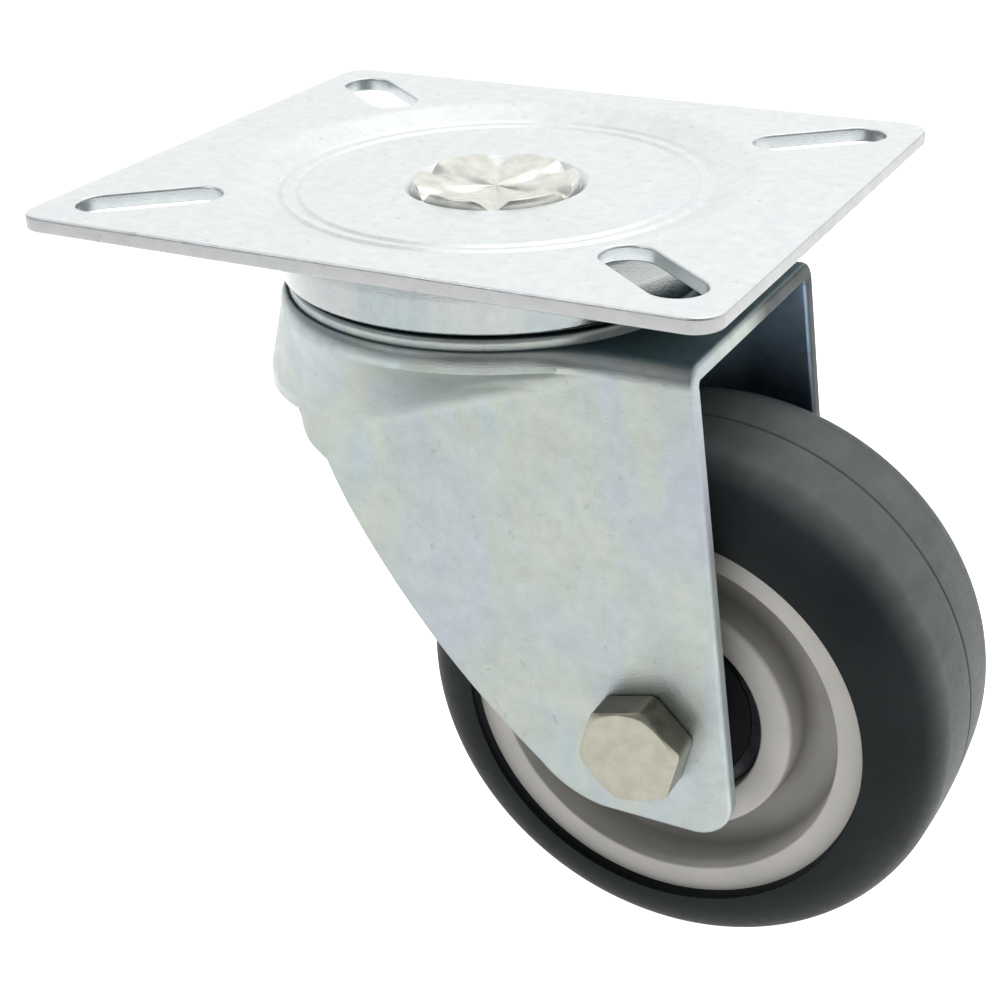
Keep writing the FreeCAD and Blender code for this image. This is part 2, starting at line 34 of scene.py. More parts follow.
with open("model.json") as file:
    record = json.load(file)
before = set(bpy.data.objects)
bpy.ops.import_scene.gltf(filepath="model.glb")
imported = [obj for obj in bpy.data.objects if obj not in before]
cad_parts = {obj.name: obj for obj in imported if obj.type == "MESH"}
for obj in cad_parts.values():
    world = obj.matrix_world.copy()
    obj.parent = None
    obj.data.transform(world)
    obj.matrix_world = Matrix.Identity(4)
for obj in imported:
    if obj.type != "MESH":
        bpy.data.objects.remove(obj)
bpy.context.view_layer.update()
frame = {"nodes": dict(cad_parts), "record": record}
MM = 0.001


# ---- sizes from the frame

def box_mm(node):
    low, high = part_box(node)
    return low / MM, high / MM


def middle_mm(node):
    low, high = box_mm(node)
    return (low + high) / 2


plate_low, plate_high = box_mm("top_plate")
race_low, race_high = box_mm("upper_race")
fork_high = box_mm("fork")[1]
bolt_low, bolt_high = box_mm("axle_bolt")
nut_low, nut_high = box_mm("axle_nut")
tyre_low, tyre_high = box_mm("tyre")
core_low, core_high = box_mm("wheel_core")
pin_low, pin_high = box_mm("kingpin")
AXLE = middle_mm("tyre")
WHEEL_RADIUS = (tyre_high.z - tyre_low.z) / 2
RIM_RADIUS = (core_high.z - core_low.z) / 2

# Plate
SHEET_PLATE = 2.0
PLATE_CORNER = 3.5
EDGE_ROUND = 0.35
EDGE_STEPS = 3
SLOT_LENGTH = 18.5
SLOT_WIDTH = 7.0
SLOT_X = 34.5
SLOT_Y = 28.5
SLOT_END_STEPS = 16
PLATE_SEGMENTS = 256

# Dish: a gentle wall, two pressed lines on a sloping shelf, a flat floor and the kingpin's pocket
DISH_OPENING = 34.9
DISH_EASE_RADIUS = 34.0
DISH_SHELF_Z = -1.65
DISH_SHELF_FALL = 0.1
DISH_FLAT_RADIUS = 23.5
DISH_DEPTH = 1.9
DISH_UNDER_RADIUS = 32.0
DISH_UNDER_FLOOR_RADIUS = 30.5
RING_LINE_OUTER = 28.6
RING_LINE_INNER = 26.3
RING_LINE_HALF_WIDTH = 0.65
RING_LINE_DEPTH = 0.35
POCKET_RADIUS = 12.2
POCKET_DEPTH = 2.7
POCKET_WALL_RUN = 1.0
POCKET_BULGE = 1.5
PIN_NECK_RADIUS = 7.0

# Kingpin
PIN_HEAD_RADIUS = 11.0
PIN_HEAD_SINK = 0.12
PIN_SHANK_RADIUS = 8.5
PIN_FLANGE_RADIUS = 12.0
PIN_FLANGE_THICKNESS = 2.0
PIN_FOOT_RADIUS = 3.5
PIN_FOOT_DEPTH = 1.6
PIN_SEGMENTS = 360
PIN_RINGS = 44
PIN_TURN_DOWN = 0.72
STAR_ARMS = 6
STAR_TURN = radians(-5)
STAR_CUP_DEPTH = 1.35
STAR_FAN_DEPTH = 0.8
STAR_NOTCH_DEPTH = 1.5
STAR_NOTCH_START = 0.6
STAR_NOTCH_END = 0.95
STAR_NOTCH_BITE = 0.3

# Upper race
RACE_BORE = 14.0
RACE_WALL = 2.0
RACE_UNDERSIDE = -7.45

# Fork
SHEET_FORK = 2.5
FORK_HALF_WIDTH = 21.5
CROWN_TOP = -14.4
LIP_TOP = fork_high.z
LIP_RADIUS = 28.2
CROWN_BORE = 10.0
SHOULDER_RADIUS = 29.4
SHOULDER_BOTTOM = -17.0
SKIRT_CENTRE_X = -12.0
SKIRT_ROUND_Z = -28.0
SKIRT_BOTTOM = -30.2
BEND_HEIGHT = CROWN_TOP - SHOULDER_BOTTOM
TRACK_PITCH = 21.5
TRACK_RADIUS = 3.55
TRACK_DEPTH = 0.6
LIP_ROUND = 0.7
LIP_INSIDE = 25.2
LIP_STEPS = 5
TRACK_STEPS = 8
INNER_BEND = 0.6
INNER_DROP = 0.5
BEND_LEAST = 0.7
BEND_GAP = 0.2
RIM_ROUND = 0.7
RIM_STEPS = 5

# Fork outline: (x, z) points, three to an arc
FOOT_BOTTOM = -80.4
REAR_LINE = ((36.0, -10.0), (43.15, -74.6))
REAR_FOOT = ((43.15, -74.6), (41.6, -78.9), (38.0, -80.4))
FRONT_FOOT = ((25.0, -80.4), (19.8, -78.9), (15.5, -75.7))
FRONT_EDGE = ((15.5, -75.7), (-3.6, -56.2), (-16.4, -35.8))
FRONT_LOBE = ((-16.4, -35.8), (-19.6, -34.2), (-20.4, -31.6))
NOTCH_X = -20.9

# Fork shoulder and the mark below it
SHOULDER_FOOT_Z = -34.0
SHOULDER_EASE = 2.2
SHOULDER_TURN = radians(55)
SHOULDER_BLEND = 5.0
MARK_START = (4.6, -21.6)
MARK_MIDDLE = (10.0, -19.2)
MARK_END = (18.5, -18.1)
MARK_DEPTH = 0.22
MARK_HALF_WIDTH = 0.8

# Fork mesh
CHEEK_COLUMNS = 112
SKIRT_COLUMNS = 40
REAR_COLUMNS = 20
BEND_STEPS = 5
LOBE_BOTTOM = -36.2
FOOT_TOP = -72.0
SHOULDER_ROWS = 44
LOBE_ROWS = 14
CHEEK_ROWS = 24
FOOT_ROWS = 18

# Axle
HEX_APOTHEM = 6.5
BOLT_HEAD_TURN = radians(15.6)
BOLT_RADIUS = 4.0
THREAD_PITCH = 1.25
THREAD_DEPTH = 0.45
THREAD_STEPS = 48
BOLT_SEGMENTS = 64
BOLT_TIP = 0.8
HEX_CORNER_POWER = 22
HEX_CONE = tan(radians(24))
HEX_FACE_INSET = 0.25
HEX_EDGE_BREAK = 0.12
HEX_MIDDLE = 0.2
HEX_SEGMENTS = 288
NUT_TURN = BOLT_HEAD_TURN + radians(11)
NUT_HEX_HEIGHT = 5.6
NUT_COLLAR_RADIUS = 5.9
NUT_COLLAR_BORE = 4.7

# Wheel
TYRE_SHOULDER = 9.0
TREAD_DROP = 0.3
TREAD_STEPS = 9
SHOULDER_STEPS = 24
RIM_INNER_RADIUS = 24.35
HUB_RADIUS = 17.9
HUB_HALF_WIDTH = 14.7
WEB_HALF_WIDTH = 8.0
HUB_LIP_RADIUS = 13.8
BEARING_OUTER_RADIUS = 14.0
BEARING_SEAT = (4.7, 12.7)
HUB_BORE = 11.0


# ---- mesh helpers

def corner_points(previous, corner, following, radius, steps):
    """Points of the arc that rounds one corner of a flat outline."""
    to_previous = (previous - corner).normalized()
    to_following = (following - corner).normalized()
    half_angle = to_previous.angle(to_following) / 2
    setback = radius / tan(half_angle)
    bisector = (to_previous + to_following).normalized()
    centre = corner + bisector * (radius / sin(half_angle))
    start = corner + to_previous * setback - centre
    end = corner + to_following * setback - centre
    sweep = pi - 2 * half_angle
    turn = 1 if start.x * end.y - start.y * end.x > 0 else -1
    points = []
    for step in range(steps + 1):
        angle = turn * sweep * step / steps
        rotated = Matrix.Rotation(angle, 2) @ start
        points.append(centre + rotated)
    return points


def rounded(corners, steps=5):
    """Closed outline from (u, v, radius) corners, each rounded to its radius."""
    flat = [Vector((u, v)) for u, v, _ in corners]
    points = []
    for index, (_, _, radius) in enumerate(corners):
        if radius <= 0:
            points.append(flat[index])
            continue
        following = flat[(index + 1) % len(flat)]
        points.extend(corner_points(flat[index - 1], flat[index], following, radius, steps))
    return points


def placed(name, data):
    """Object with this data, in the scene."""
    made = bpy.data.objects.new(name, data)
    bpy.context.scene.collection.objects.link(made)
    return made


def new_object(name, vertices, faces, sharp_degrees=40):
    """Object from millimetre points, with outward normals and smooth shading below an angle."""
    mesh = bpy.data.meshes.new(name)
    mesh.from_pydata([Vector(v) * MM for v in vertices], [], faces)
    work = bmesh.new()
    work.from_mesh(mesh)
    bmesh.ops.remove_doubles(work, verts=work.verts, dist=1e-7)
    bmesh.ops.recalc_face_normals(work, faces=work.faces)
    work.to_mesh(mesh)
    work.free()
    mesh.shade_smooth()
    mesh.set_sharp_from_angle(angle=radians(sharp_degrees))
    return placed(name, mesh)


def swivel_point(radius, height, angle):
    return (radius * cos(angle), radius * sin(angle), height)


def axle_point(radius, y, angle):
    return (AXLE.x + radius * cos(angle), y, AXLE.z + radius * sin(angle))


def add_ring(vertices, radius, height, place, segments):
    """Add a round ring of points and return their numbers."""
    numbers = []
    for step in range(segments):
        numbers.append(len(vertices))
        vertices.append(place(radius, height, 2 * pi * step / segments))
    return numbers


def ring_faces(first, second):
    """Quads between two rings of vertex numbers."""
    faces = []
    for step in range(len(first)):
        nxt = (step + 1) % len(first)
        faces.append([first[step], first[nxt], second[nxt], second[step]])
    return faces


def fan_faces(centre, ring):
    """Triangles between a middle vertex and a ring of vertex numbers."""
    return [[centre, vertex, ring[(step + 1) % len(ring)]] for step, vertex in enumerate(ring)]


def skin(rings):
    """Quads between each ring and the next."""
    faces = []
    for first, second in zip(rings, rings[1:]):
        faces.extend(ring_faces(first, second))
    return faces


def turned(name, outline, place, segments=192):
    """Solid of revolution of a closed (radius, height) outline."""
    vertices = []
    rings = [add_ring(vertices, radius, height, place, segments) for radius, height in outline]
    return new_object(name, vertices, skin(rings + rings[:1]))


def even_normals(piece):
    """Keep broad faces flat next to small rounded edges."""
    weighted = piece.modifiers.new("flat_faces", "WEIGHTED_NORMAL")
    weighted.keep_sharp = True
    return piece


def grid_faces(rows):
    """Quads between rows of vertex numbers; None marks a missing vertex."""
    faces = []
    for upper, lower in zip(rows, rows[1:]):
        for index in range(len(upper) - 1):
            quad = [upper[index], upper[index + 1], lower[index + 1], lower[index]]
            if None not in quad:
                faces.append(quad)
    return faces


def clamped(value):
    return min(max(value, 0), 1)


def smooth_maximum(a, b, width):
    """The larger of two values, with the change between them rounded over width."""
    if width <= 0:
        return max(a, b)
    overlap = max(width - abs(a - b), 0) / width
    return max(a, b) + overlap * overlap * width / 4


# ---- top plate

def rounded_rectangle(inset):
    half_length = (plate_high.x - plate_low.x) / 2 - inset
    half_width = (plate_high.y - plate_low.y) / 2 - inset
    radius = PLATE_CORNER - inset
    return rounded([(-half_length, -half_width, radius), (half_length, -half_width, radius),
                    (half_length, half_width, radius), (-half_length, half_width, radius)], 10)


def slot_outline(sign_x, sign_y, inset):
    """Round-ended slot on the line from the swivel axis to its centre."""
    radius = SLOT_WIDTH / 2 + inset
    half_run = SLOT_LENGTH / 2 - SLOT_WIDTH / 2
    centre = Vector((sign_x * SLOT_X, sign_y * SLOT_Y))
    along = centre.normalized()
    across = Vector((-along.y, along.x))
    points = []
    for end in (1, -1):
        for step in range(SLOT_END_STEPS + 1):
            angle = pi * step / SLOT_END_STEPS - pi / 2
            offset = along * cos(angle) * radius + across * sin(angle) * radius
            points.append(centre + (along * half_run + offset) * end)
    return points


def circle_outline(radius):
    points = []
    for step in range(PLATE_SEGMENTS):
        angle = 2 * pi * step / PLATE_SEGMENTS
        points.append(Vector((radius * cos(angle), radius * sin(angle))))
    return points


def edge_layers():
    """(inset, z) steps down a sheet edge with rounded corners."""
    layers = []
    for step in range(EDGE_STEPS + 1):
        angle = pi / 2 * step / EDGE_STEPS
        layers.append((EDGE_ROUND * (1 - sin(angle)), EDGE_ROUND * (cos(angle) - 1)))
    lower = [(inset, -SHEET_PLATE - z) for inset, z in reversed(layers)]
    return layers + lower


def ring_line(radius, floor):
    """Corners of one pressed line round the dish, from its outer edge to its inner edge."""
    return [(radius + RING_LINE_HALF_WIDTH, floor, 0.2), (radius, floor - RING_LINE_DEPTH, 0.3),
            (radius - RING_LINE_HALF_WIDTH, floor, 0.2)]


def dish_profile():
    """(radius, z) outline of the pressed middle: down its top face and back along its underside."""
    underside = -DISH_DEPTH - SHEET_PLATE
    pocket_underside = -POCKET_DEPTH - SHEET_PLATE
    corners = [(DISH_OPENING, 0, 0), (DISH_EASE_RADIUS, 0, 5.0)]
    corners += ring_line(RING_LINE_OUTER, DISH_SHELF_Z)
    corners += ring_line(RING_LINE_INNER, DISH_SHELF_Z - DISH_SHELF_FALL)
    corners += [
        (DISH_FLAT_RADIUS, -DISH_DEPTH, 4.0), (POCKET_RADIUS, -DISH_DEPTH, 0.6),
        (POCKET_RADIUS - POCKET_WALL_RUN, -POCKET_DEPTH, 0.5), (PIN_NECK_RADIUS, -POCKET_DEPTH, 0),
        (PIN_NECK_RADIUS, pocket_underside, 0), (POCKET_RADIUS, pocket_underside, 0.5),
        (POCKET_RADIUS + POCKET_BULGE, underside, 0.5), (DISH_UNDER_FLOOR_RADIUS, underside, 2.0),
        (DISH_UNDER_RADIUS, -SHEET_PLATE, 0.4), (DISH_OPENING, -SHEET_PLATE, 0)]
    return rounded(corners, 6)


def flat_sheet():
    """Vertices and faces of the flat sheet, with its slots and the round opening for the dish."""
    work = bmesh.new()
    outlines = [rounded_rectangle]
    for sign_x in (-1, 1):
        for sign_y in (-1, 1):
            outlines.append(lambda inset, sx=sign_x, sy=sign_y: slot_outline(sx, sy, inset))
    cap_edges = {0: [], 1: []}
    for outline in outlines:
        loops = []
        for inset, z in edge_layers():
            loops.append([work.verts.new((p.x * MM, p.y * MM, z * MM)) for p in outline(inset)])
        count = len(loops[0])
        for upper, lower in zip(loops, loops[1:]):
            for index in range(count):
                nxt = (index + 1) % count
                work.faces.new((upper[index], upper[nxt], lower[nxt], lower[index]))
        for side, loop in ((0, loops[0]), (1, loops[-1])):
            for index in range(count):
                cap_edges[side].append(work.edges.get((loop[index], loop[(index + 1) % count])))
    for side, z in ((0, 0.0), (1, -SHEET_PLATE)):
        ring = [work.verts.new((p.x * MM, p.y * MM, z * MM)) for p in circle_outline(DISH_OPENING)]
        for index in range(len(ring)):
            cap_edges[side].append(work.edges.new((ring[index], ring[(index + 1) % len(ring)])))
        bmesh.ops.triangle_fill(work, use_beauty=True, use_dissolve=False, edges=cap_edges[side])
    mesh = bpy.data.meshes.new("plate_sheet")
    work.to_mesh(mesh)
    work.free()
    vertices = [v.co / MM for v in mesh.vertices]
    faces = [list(p.vertices) for p in mesh.polygons]
    bpy.data.meshes.remove(mesh)
    return vertices, faces


def build_top_plate():
    vertices, faces = flat_sheet()
    rings = [add_ring(vertices, point.x, point.y, swivel_point, PLATE_SEGMENTS)
             for point in dish_profile()]
    faces.extend(skin(rings))
    return even_normals(new_object("top_plate_sheet", vertices, faces, 35))


# ---- swivel head

def star_valley(angle, sharpness):
    """1 along the six radial valleys of the staked head and 0 along its arms."""
    return (0.5 + 0.5 * cos(STAR_ARMS * (angle - STAR_TURN))) ** sharpness


def star_height(radius, angle):
    """Height of the staked head: a ribbed cup whose rim is notched where the punch's arms fell."""
    share = min(radius / PIN_HEAD_RADIUS, 1)
    rim = pin_high.z - PIN_HEAD_SINK
    cup = STAR_CUP_DEPTH * (1 - share ** 1.6)
    fan = STAR_FAN_DEPTH * sin(pi * share ** 0.8) ** 1.2 * star_valley(angle, 1.5)
    reach = clamped((share - STAR_NOTCH_START) / (STAR_NOTCH_END - STAR_NOTCH_START))
    notch = STAR_NOTCH_DEPTH * reach ** 1.5 * star_valley(angle, 7)
    return rim - cup - fan - notch


def staked_head(vertices):
    """Rings of the head from the middle out, turned down at the rim onto the pocket's floor."""
    floor = -POCKET_DEPTH
    rings = []
    for ring in range(1, PIN_RINGS + 1):
        share = ring / PIN_RINGS
        fall = max(0, (share - PIN_TURN_DOWN) / (1 - PIN_TURN_DOWN))
        drop = 1 - sqrt(max(0, 1 - fall ** 4))
        numbers = []
        for step in range(PIN_SEGMENTS):
            angle = 2 * pi * step / PIN_SEGMENTS
            edge = PIN_HEAD_RADIUS - STAR_NOTCH_BITE * star_valley(angle, 5)
            radius = edge * sin(share * pi / 2)
            height = star_height(radius, angle)
            height -= max(height - floor, 0) * drop
            numbers.append(len(vertices))
            vertices.append(swivel_point(radius, height, angle))
        rings.append(numbers)
    return rings


def build_kingpin():
    vertices = [(0, 0, star_height(0, 0))]
    rings = staked_head(vertices)
    flange_top = pin_low.z + PIN_FLANGE_THICKNESS
    flange = rounded([
        (PIN_FLANGE_RADIUS, flange_top, 0.3), (PIN_FLANGE_RADIUS, pin_low.z, 0.8),
        (PIN_FOOT_RADIUS, pin_low.z, 0.4), (0, pin_low.z + PIN_FOOT_DEPTH, 0)], 4)
    shank = [(PIN_SHANK_RADIUS, -POCKET_DEPTH), (PIN_SHANK_RADIUS, flange_top)]
    for radius, height in shank + [tuple(point) for point in flange[:-1]]:
        rings.append(add_ring(vertices, radius, height, swivel_point, PIN_SEGMENTS))
    foot = len(vertices)
    vertices.append((0, 0, flange[-1].y))
    faces = fan_faces(0, rings[0]) + skin(rings) + fan_faces(foot, rings[-1])
    return new_object("kingpin_staked", vertices, faces, 50)


def build_upper_race():
    outside = (race_high.x - race_low.x) / 2
    inside = outside - RACE_WALL
    outline = rounded([
        (RACE_BORE, race_high.z, 0), (outside - 0.4, race_high.z, 1.2),
        (outside, race_high.z - 4.0, 3.0), (outside - 0.5, race_low.z, 0.7),
        (inside - 0.5, race_low.z, 0.5), (inside, RACE_UNDERSIDE, 1.0),
        (RACE_BORE, RACE_UNDERSIDE, 0.5)], 8)
    return turned("upper_race_ring", outline, swivel_point)


# ---- fork

def circle_through(a, b, c):
    """Centre and radius of the circle through three (x, z) points."""
    ax, ay = a
    bx, by = b
    cx, cy = c
    d = 2 * (ax * (by - cy) + bx * (cy - ay) + cx * (ay - by))
    sa, sb, sc = ax * ax + ay * ay, bx * bx + by * by, cx * cx + cy * cy
    x = (sa * (by - cy) + sb * (cy - ay) + sc * (ay - by)) / d
    z = (sa * (cx - bx) + sb * (ax - cx) + sc * (bx - ax)) / d
    return x, z, hypot(ax - x, ay - z)


def on_arc(points, z, side, shrink):
    x, centre_z, radius = circle_through(*points)
    return x + side * sqrt(max(0, (radius - shrink) ** 2 - (z - centre_z) ** 2))


def rear_x(z, shrink=0.0):
    """X of the cheeks' rear edge at height z, or of a line that far inside it."""
    (top_x, top_z), (low_x, low_z) = REAR_LINE
    if z >= low_z:
        return top_x + (low_x - top_x) * (top_z - z) / (top_z - low_z) - shrink
    return on_arc(REAR_FOOT, z, 1, shrink)


def front_x(z, shrink=0.0):
    """X of the cheeks' front edge at height z, below the skirt, or of a line inside it."""
    if z >= FRONT_LOBE[2][1]:
        share = (z - FRONT_LOBE[2][1]) / (SKIRT_BOTTOM - FRONT_LOBE[2][1])
        return FRONT_LOBE[2][0] + (NOTCH_X - FRONT_LOBE[2][0]) * share + shrink
    if z >= FRONT_EDGE[2][1]:
        return on_arc(FRONT_LOBE, z, -1, shrink)
    if z >= FRONT_EDGE[0][1]:
        return on_arc(FRONT_EDGE, z, -1, shrink)
    return on_arc(FRONT_FOOT, z, -1, shrink)


def drum_at(z):
    """Centre x and radius of the round front of the fork at height z."""
    share = clamped((SHOULDER_BOTTOM - z) / (SHOULDER_BOTTOM - SKIRT_ROUND_Z))
    radius = SHOULDER_RADIUS + (FORK_HALF_WIDTH - SHOULDER_RADIUS) * share
    return SKIRT_CENTRE_X * share, radius


def shoulder_radius(z, angle):
    """Radius of the shoulder: it eases into the cheek at the side and is a straight cone in front."""
    cone = drum_at(z)[1]
    share = clamped((SHOULDER_BOTTOM - z) / (SHOULDER_BOTTOM - SHOULDER_FOOT_Z))
    eased = FORK_HALF_WIDTH + (SHOULDER_RADIUS - FORK_HALF_WIDTH) * (1 - share) ** SHOULDER_EASE
    front = clamped((angle - pi / 2) / SHOULDER_TURN)
    front = front * front * (3 - 2 * front)
    return eased + (cone - eased) * front


def die_mark(x, z):
    """Depth of the crescent that the forming die left where the shoulder runs into the cheek."""
    centre_x, centre_z, radius = circle_through(MARK_START, MARK_MIDDLE, MARK_END)
    if not MARK_START[0] - 2 < x < MARK_END[0] + 2:
        return 0.0
    away = hypot(x - centre_x, z - centre_z) - radius
    if z < centre_z:
        return 0.0
    middle = (MARK_START[0] + MARK_END[0]) / 2
    reach = (MARK_END[0] - MARK_START[0]) / 2 + 1
    fade = max(0, 1 - ((x - middle) / reach) ** 2)
    return MARK_DEPTH * fade * exp(-(away / MARK_HALF_WIDTH) ** 2)


def section_point(z, angle, inset):
    """(x, y) on the fork's wall at height z, at an angle about the drum's centre."""
    centre = drum_at(z)[0]
    radius = shoulder_radius(z, angle) - inset
    half_width = FORK_HALF_WIDTH - inset
    distance = radius
    if angle < pi / 2:
        cheek = half_width / sin(angle)
        distance = smooth_maximum(radius, cheek, min(SHOULDER_BLEND, radius - half_width))
    return centre + distance * cos(angle), distance * sin(angle)


def angle_of_x(z, x, inset):
    """Angle about the drum's centre at which the wall has this x."""
    centre, radius = drum_at(z)
    half_width = FORK_HALF_WIDTH - inset
    if x >= centre:
        return atan2(half_width, x - centre)
    return acos(max(-1, (x - centre) / (radius - inset)))


def wall_angle(column, z, inset, shrink):
    """Angle of a wall column: the cheek's columns first, then the skirt's up to the middle."""
    start = angle_of_x(z, rear_x(z, shrink), inset)
    notch = angle_of_x(SKIRT_BOTTOM, NOTCH_X + shrink, inset)
    if z < SKIRT_BOTTOM:
        notch = angle_of_x(z, front_x(z, shrink), inset)
    if column <= CHEEK_COLUMNS:
        return start + (notch - start) * column / CHEEK_COLUMNS
    return notch + (pi - notch) * (column - CHEEK_COLUMNS) / SKIRT_COLUMNS


def wall_heights(shrink):
    """Heights of the wall's rows, closer together at the skirt's edge and at the foot."""
    heights = [SHOULDER_BOTTOM]
    for top, bottom, count in ((SHOULDER_BOTTOM, SKIRT_BOTTOM, SHOULDER_ROWS),
                               (SKIRT_BOTTOM, LOBE_BOTTOM, LOBE_ROWS),
                               (LOBE_BOTTOM, FOOT_TOP, CHEEK_ROWS)):
        for row in range(1, count + 1):
            heights.append(top + (bottom - top) * row / count)
    foot = FOOT_BOTTOM + shrink
    for row in range(1, FOOT_ROWS + 1):
        heights.append(FOOT_TOP + (foot - FOOT_TOP) * sin(pi / 2 * row / FOOT_ROWS))
    return heights


def crown_profile():
    """(outer radius, z, inner radius, z) rows inwards over the crown: lip, ball track and bore."""
    dome_under = LIP_TOP - SHEET_FORK
    crown_under = CROWN_TOP - SHEET_FORK
    rows = [(LIP_RADIUS + 0.15, CROWN_TOP, LIP_INSIDE + 1.0, crown_under),
            (LIP_RADIUS + 0.02, CROWN_TOP - 0.12, LIP_INSIDE + 0.8, crown_under),
            (LIP_RADIUS - 0.08, CROWN_TOP + 0.1, LIP_INSIDE + 0.6, crown_under + 0.1),
            (LIP_RADIUS - 0.1, CROWN_TOP + 0.7, LIP_INSIDE + 0.2, crown_under + 0.9)]
    for step in range(LIP_STEPS + 1):
        angle = pi / 2 * step / LIP_STEPS
        radius = LIP_RADIUS - 0.1 - LIP_ROUND * (1 - cos(angle))
        height = LIP_TOP - LIP_ROUND + LIP_ROUND * sin(angle)
        rows.append((radius, height, LIP_INSIDE - 0.2 * step, dome_under - 0.1 + 0.02 * step))
    groove_half = sqrt(TRACK_RADIUS ** 2 - (TRACK_RADIUS - TRACK_DEPTH) ** 2)
    track_z = LIP_TOP - TRACK_DEPTH + TRACK_RADIUS
    for step in range(TRACK_STEPS + 1):
        offset = groove_half * (1 - 2 * step / TRACK_STEPS)
        height = track_z - sqrt(TRACK_RADIUS ** 2 - offset ** 2)
        rows.append((TRACK_PITCH + offset, height, TRACK_PITCH + offset, dome_under))
    rows.append((CROWN_BORE + 0.4, LIP_TOP, CROWN_BORE + 0.4, dome_under))
    rows.append((CROWN_BORE, LIP_TOP - 0.3, CROWN_BORE, dome_under + 0.3))
    return rows


def fork_wall_side(inset, shrink):
    """Rows of (x, y, z) for the near half of the wall, from the top row down."""
    rows = []
    for z in wall_heights(shrink):
        height = min(z, SHOULDER_BOTTOM - INNER_DROP) if inset > 0 else z
        last = CHEEK_COLUMNS + SKIRT_COLUMNS if z >= SKIRT_BOTTOM - 1e-6 else CHEEK_COLUMNS
        row = []
        for column in range(last + 1):
            angle = wall_angle(column, z, inset, shrink)
            x, y = section_point(z, angle, inset)
            if inset == 0:
                y -= die_mark(x, z)
            lift = shrink if column >= CHEEK_COLUMNS and abs(z - SKIRT_BOTTOM) < 1e-6 else 0
            row.append((x, -y, height + lift))
        rows.append(row)
    return rows


def bend_rows(top_row, inset):
    """Rows that turn from the wall's top row over the bend to the crown."""
    count = len(top_row)
    rows = []
    for step in range(1, BEND_STEPS + 1):
        angle = pi / 2 * step / BEND_STEPS
        row = []
        for index, (x, y, z) in enumerate(top_row):
            before = top_row[max(index - 1, 0)]
            after = top_row[min(index + 1, count - 1)]
            tangent = Vector((after[0] - before[0], after[1] - before[1])).normalized()
            normal = Vector((tangent.y, -tangent.x))
            if normal.dot(Vector((-x, -y))) < 0:
                normal = -normal
            if index == 0:
                normal = Vector((0, 1))
            if index == count - 1:
                normal = Vector((1, 0))
            reach, rise = INNER_BEND, INNER_BEND
            if inset == 0:
                reach = min(max(hypot(x, y) - LIP_RADIUS - BEND_GAP, BEND_LEAST), BEND_HEIGHT)
                rise = BEND_HEIGHT
            moved = normal * reach * (1 - cos(angle))
            height = z + rise * sin(angle)
            along = rear_x(height) - rear_x(z) if index == 0 else 0
            row.append((x + moved.x + along, y + moved.y, height))
        rows.append(row)
    return rows


def mirrored_row(row):
    return [(x, -y, z) for x, y, z in row]


def fork_surface(inset, shrink):
    """All rows of one face of the sheet, with its outline drawn in by the shrink."""
    wall = fork_wall_side(inset, shrink)
    bend = bend_rows(wall[0], inset)
    edge_height = bend[-1][0][2]
    ring_outer = bend[-1] + mirrored_row(bend[-1])[-2::-1]
    corner = bend[-1][0]
    rear = []
    for step in range(1, REAR_COLUMNS):
        share = step / REAR_COLUMNS
        rear.append((corner[0], -corner[1] + 2 * corner[1] * share, edge_height))
    ring_outer = ring_outer + rear
    crown = [ring_outer]
    for outer_r, outer_z, inner_r, inner_z in crown_profile():
        radius, height = (inner_r, inner_z) if inset > 0 else (outer_r, outer_z)
        ring = []
        for x, y, _ in ring_outer:
            length = hypot(x, y)
            ring.append((x / length * radius, y / length * radius, height))
        crown.append(ring)
    return wall, bend, crown


def fork_sheet(inset, shrink):
    """Vertices and faces of one side of the fork's sheet."""
    vertices = []

    def number(row):
        numbers = list(range(len(vertices), len(vertices) + len(row)))
        vertices.extend(row)
        return numbers

    wall, bend, crown = fork_surface(inset, shrink)
    columns = len(wall[0])
    crown_numbers = [number(row) for row in crown]
    faces = grid_faces([row + row[:1] for row in crown_numbers])
    ring = crown_numbers[0]
    for side in (0, 1):
        if side == 0:
            top = ring[:columns]
        else:
            top = [ring[2 * columns - 2 - index] for index in range(columns)]
        rows = [top]
        for row in reversed(bend[:-1]):
            rows.append(number(mirrored_row(row) if side else row))
        for row in wall:
            placed = mirrored_row(row) if side else row
            rows.append(number(placed) + [None] * (columns - len(row)))
        faces.extend(grid_faces(rows))
    return vertices, faces


def merge_map(vertices):
    """Vertex number of the first vertex at the same place, for each vertex."""
    first = {}
    merged = []
    for index, (x, y, z) in enumerate(vertices):
        key = (round(x, 3), round(y, 3), round(z, 3))
        merged.append(first.setdefault(key, index))
    return merged


def border_edges(vertices, faces):
    """Directed edges that only one face of a sheet uses."""
    merged = merge_map(vertices)
    uses = {}
    for face in faces:
        for index, start in enumerate(face):
            end = face[(index + 1) % len(face)]
            uses.setdefault(frozenset((merged[start], merged[end])), []).append((start, end))
    return [edges[0] for edges in uses.values() if len(edges) == 1]


def rim_profile():
    """(depth, shrink) shares around a rounded rim, from one face of the sheet to the other."""
    points = []
    round_share = RIM_ROUND / SHEET_FORK
    for step in range(1, RIM_STEPS + 1):
        angle = pi / 2 * step / RIM_STEPS
        points.append((round_share * (1 - cos(angle)), 1 - sin(angle)))
    for depth, shrink in reversed(points[:]):
        points.append((1 - depth, shrink))
    return points


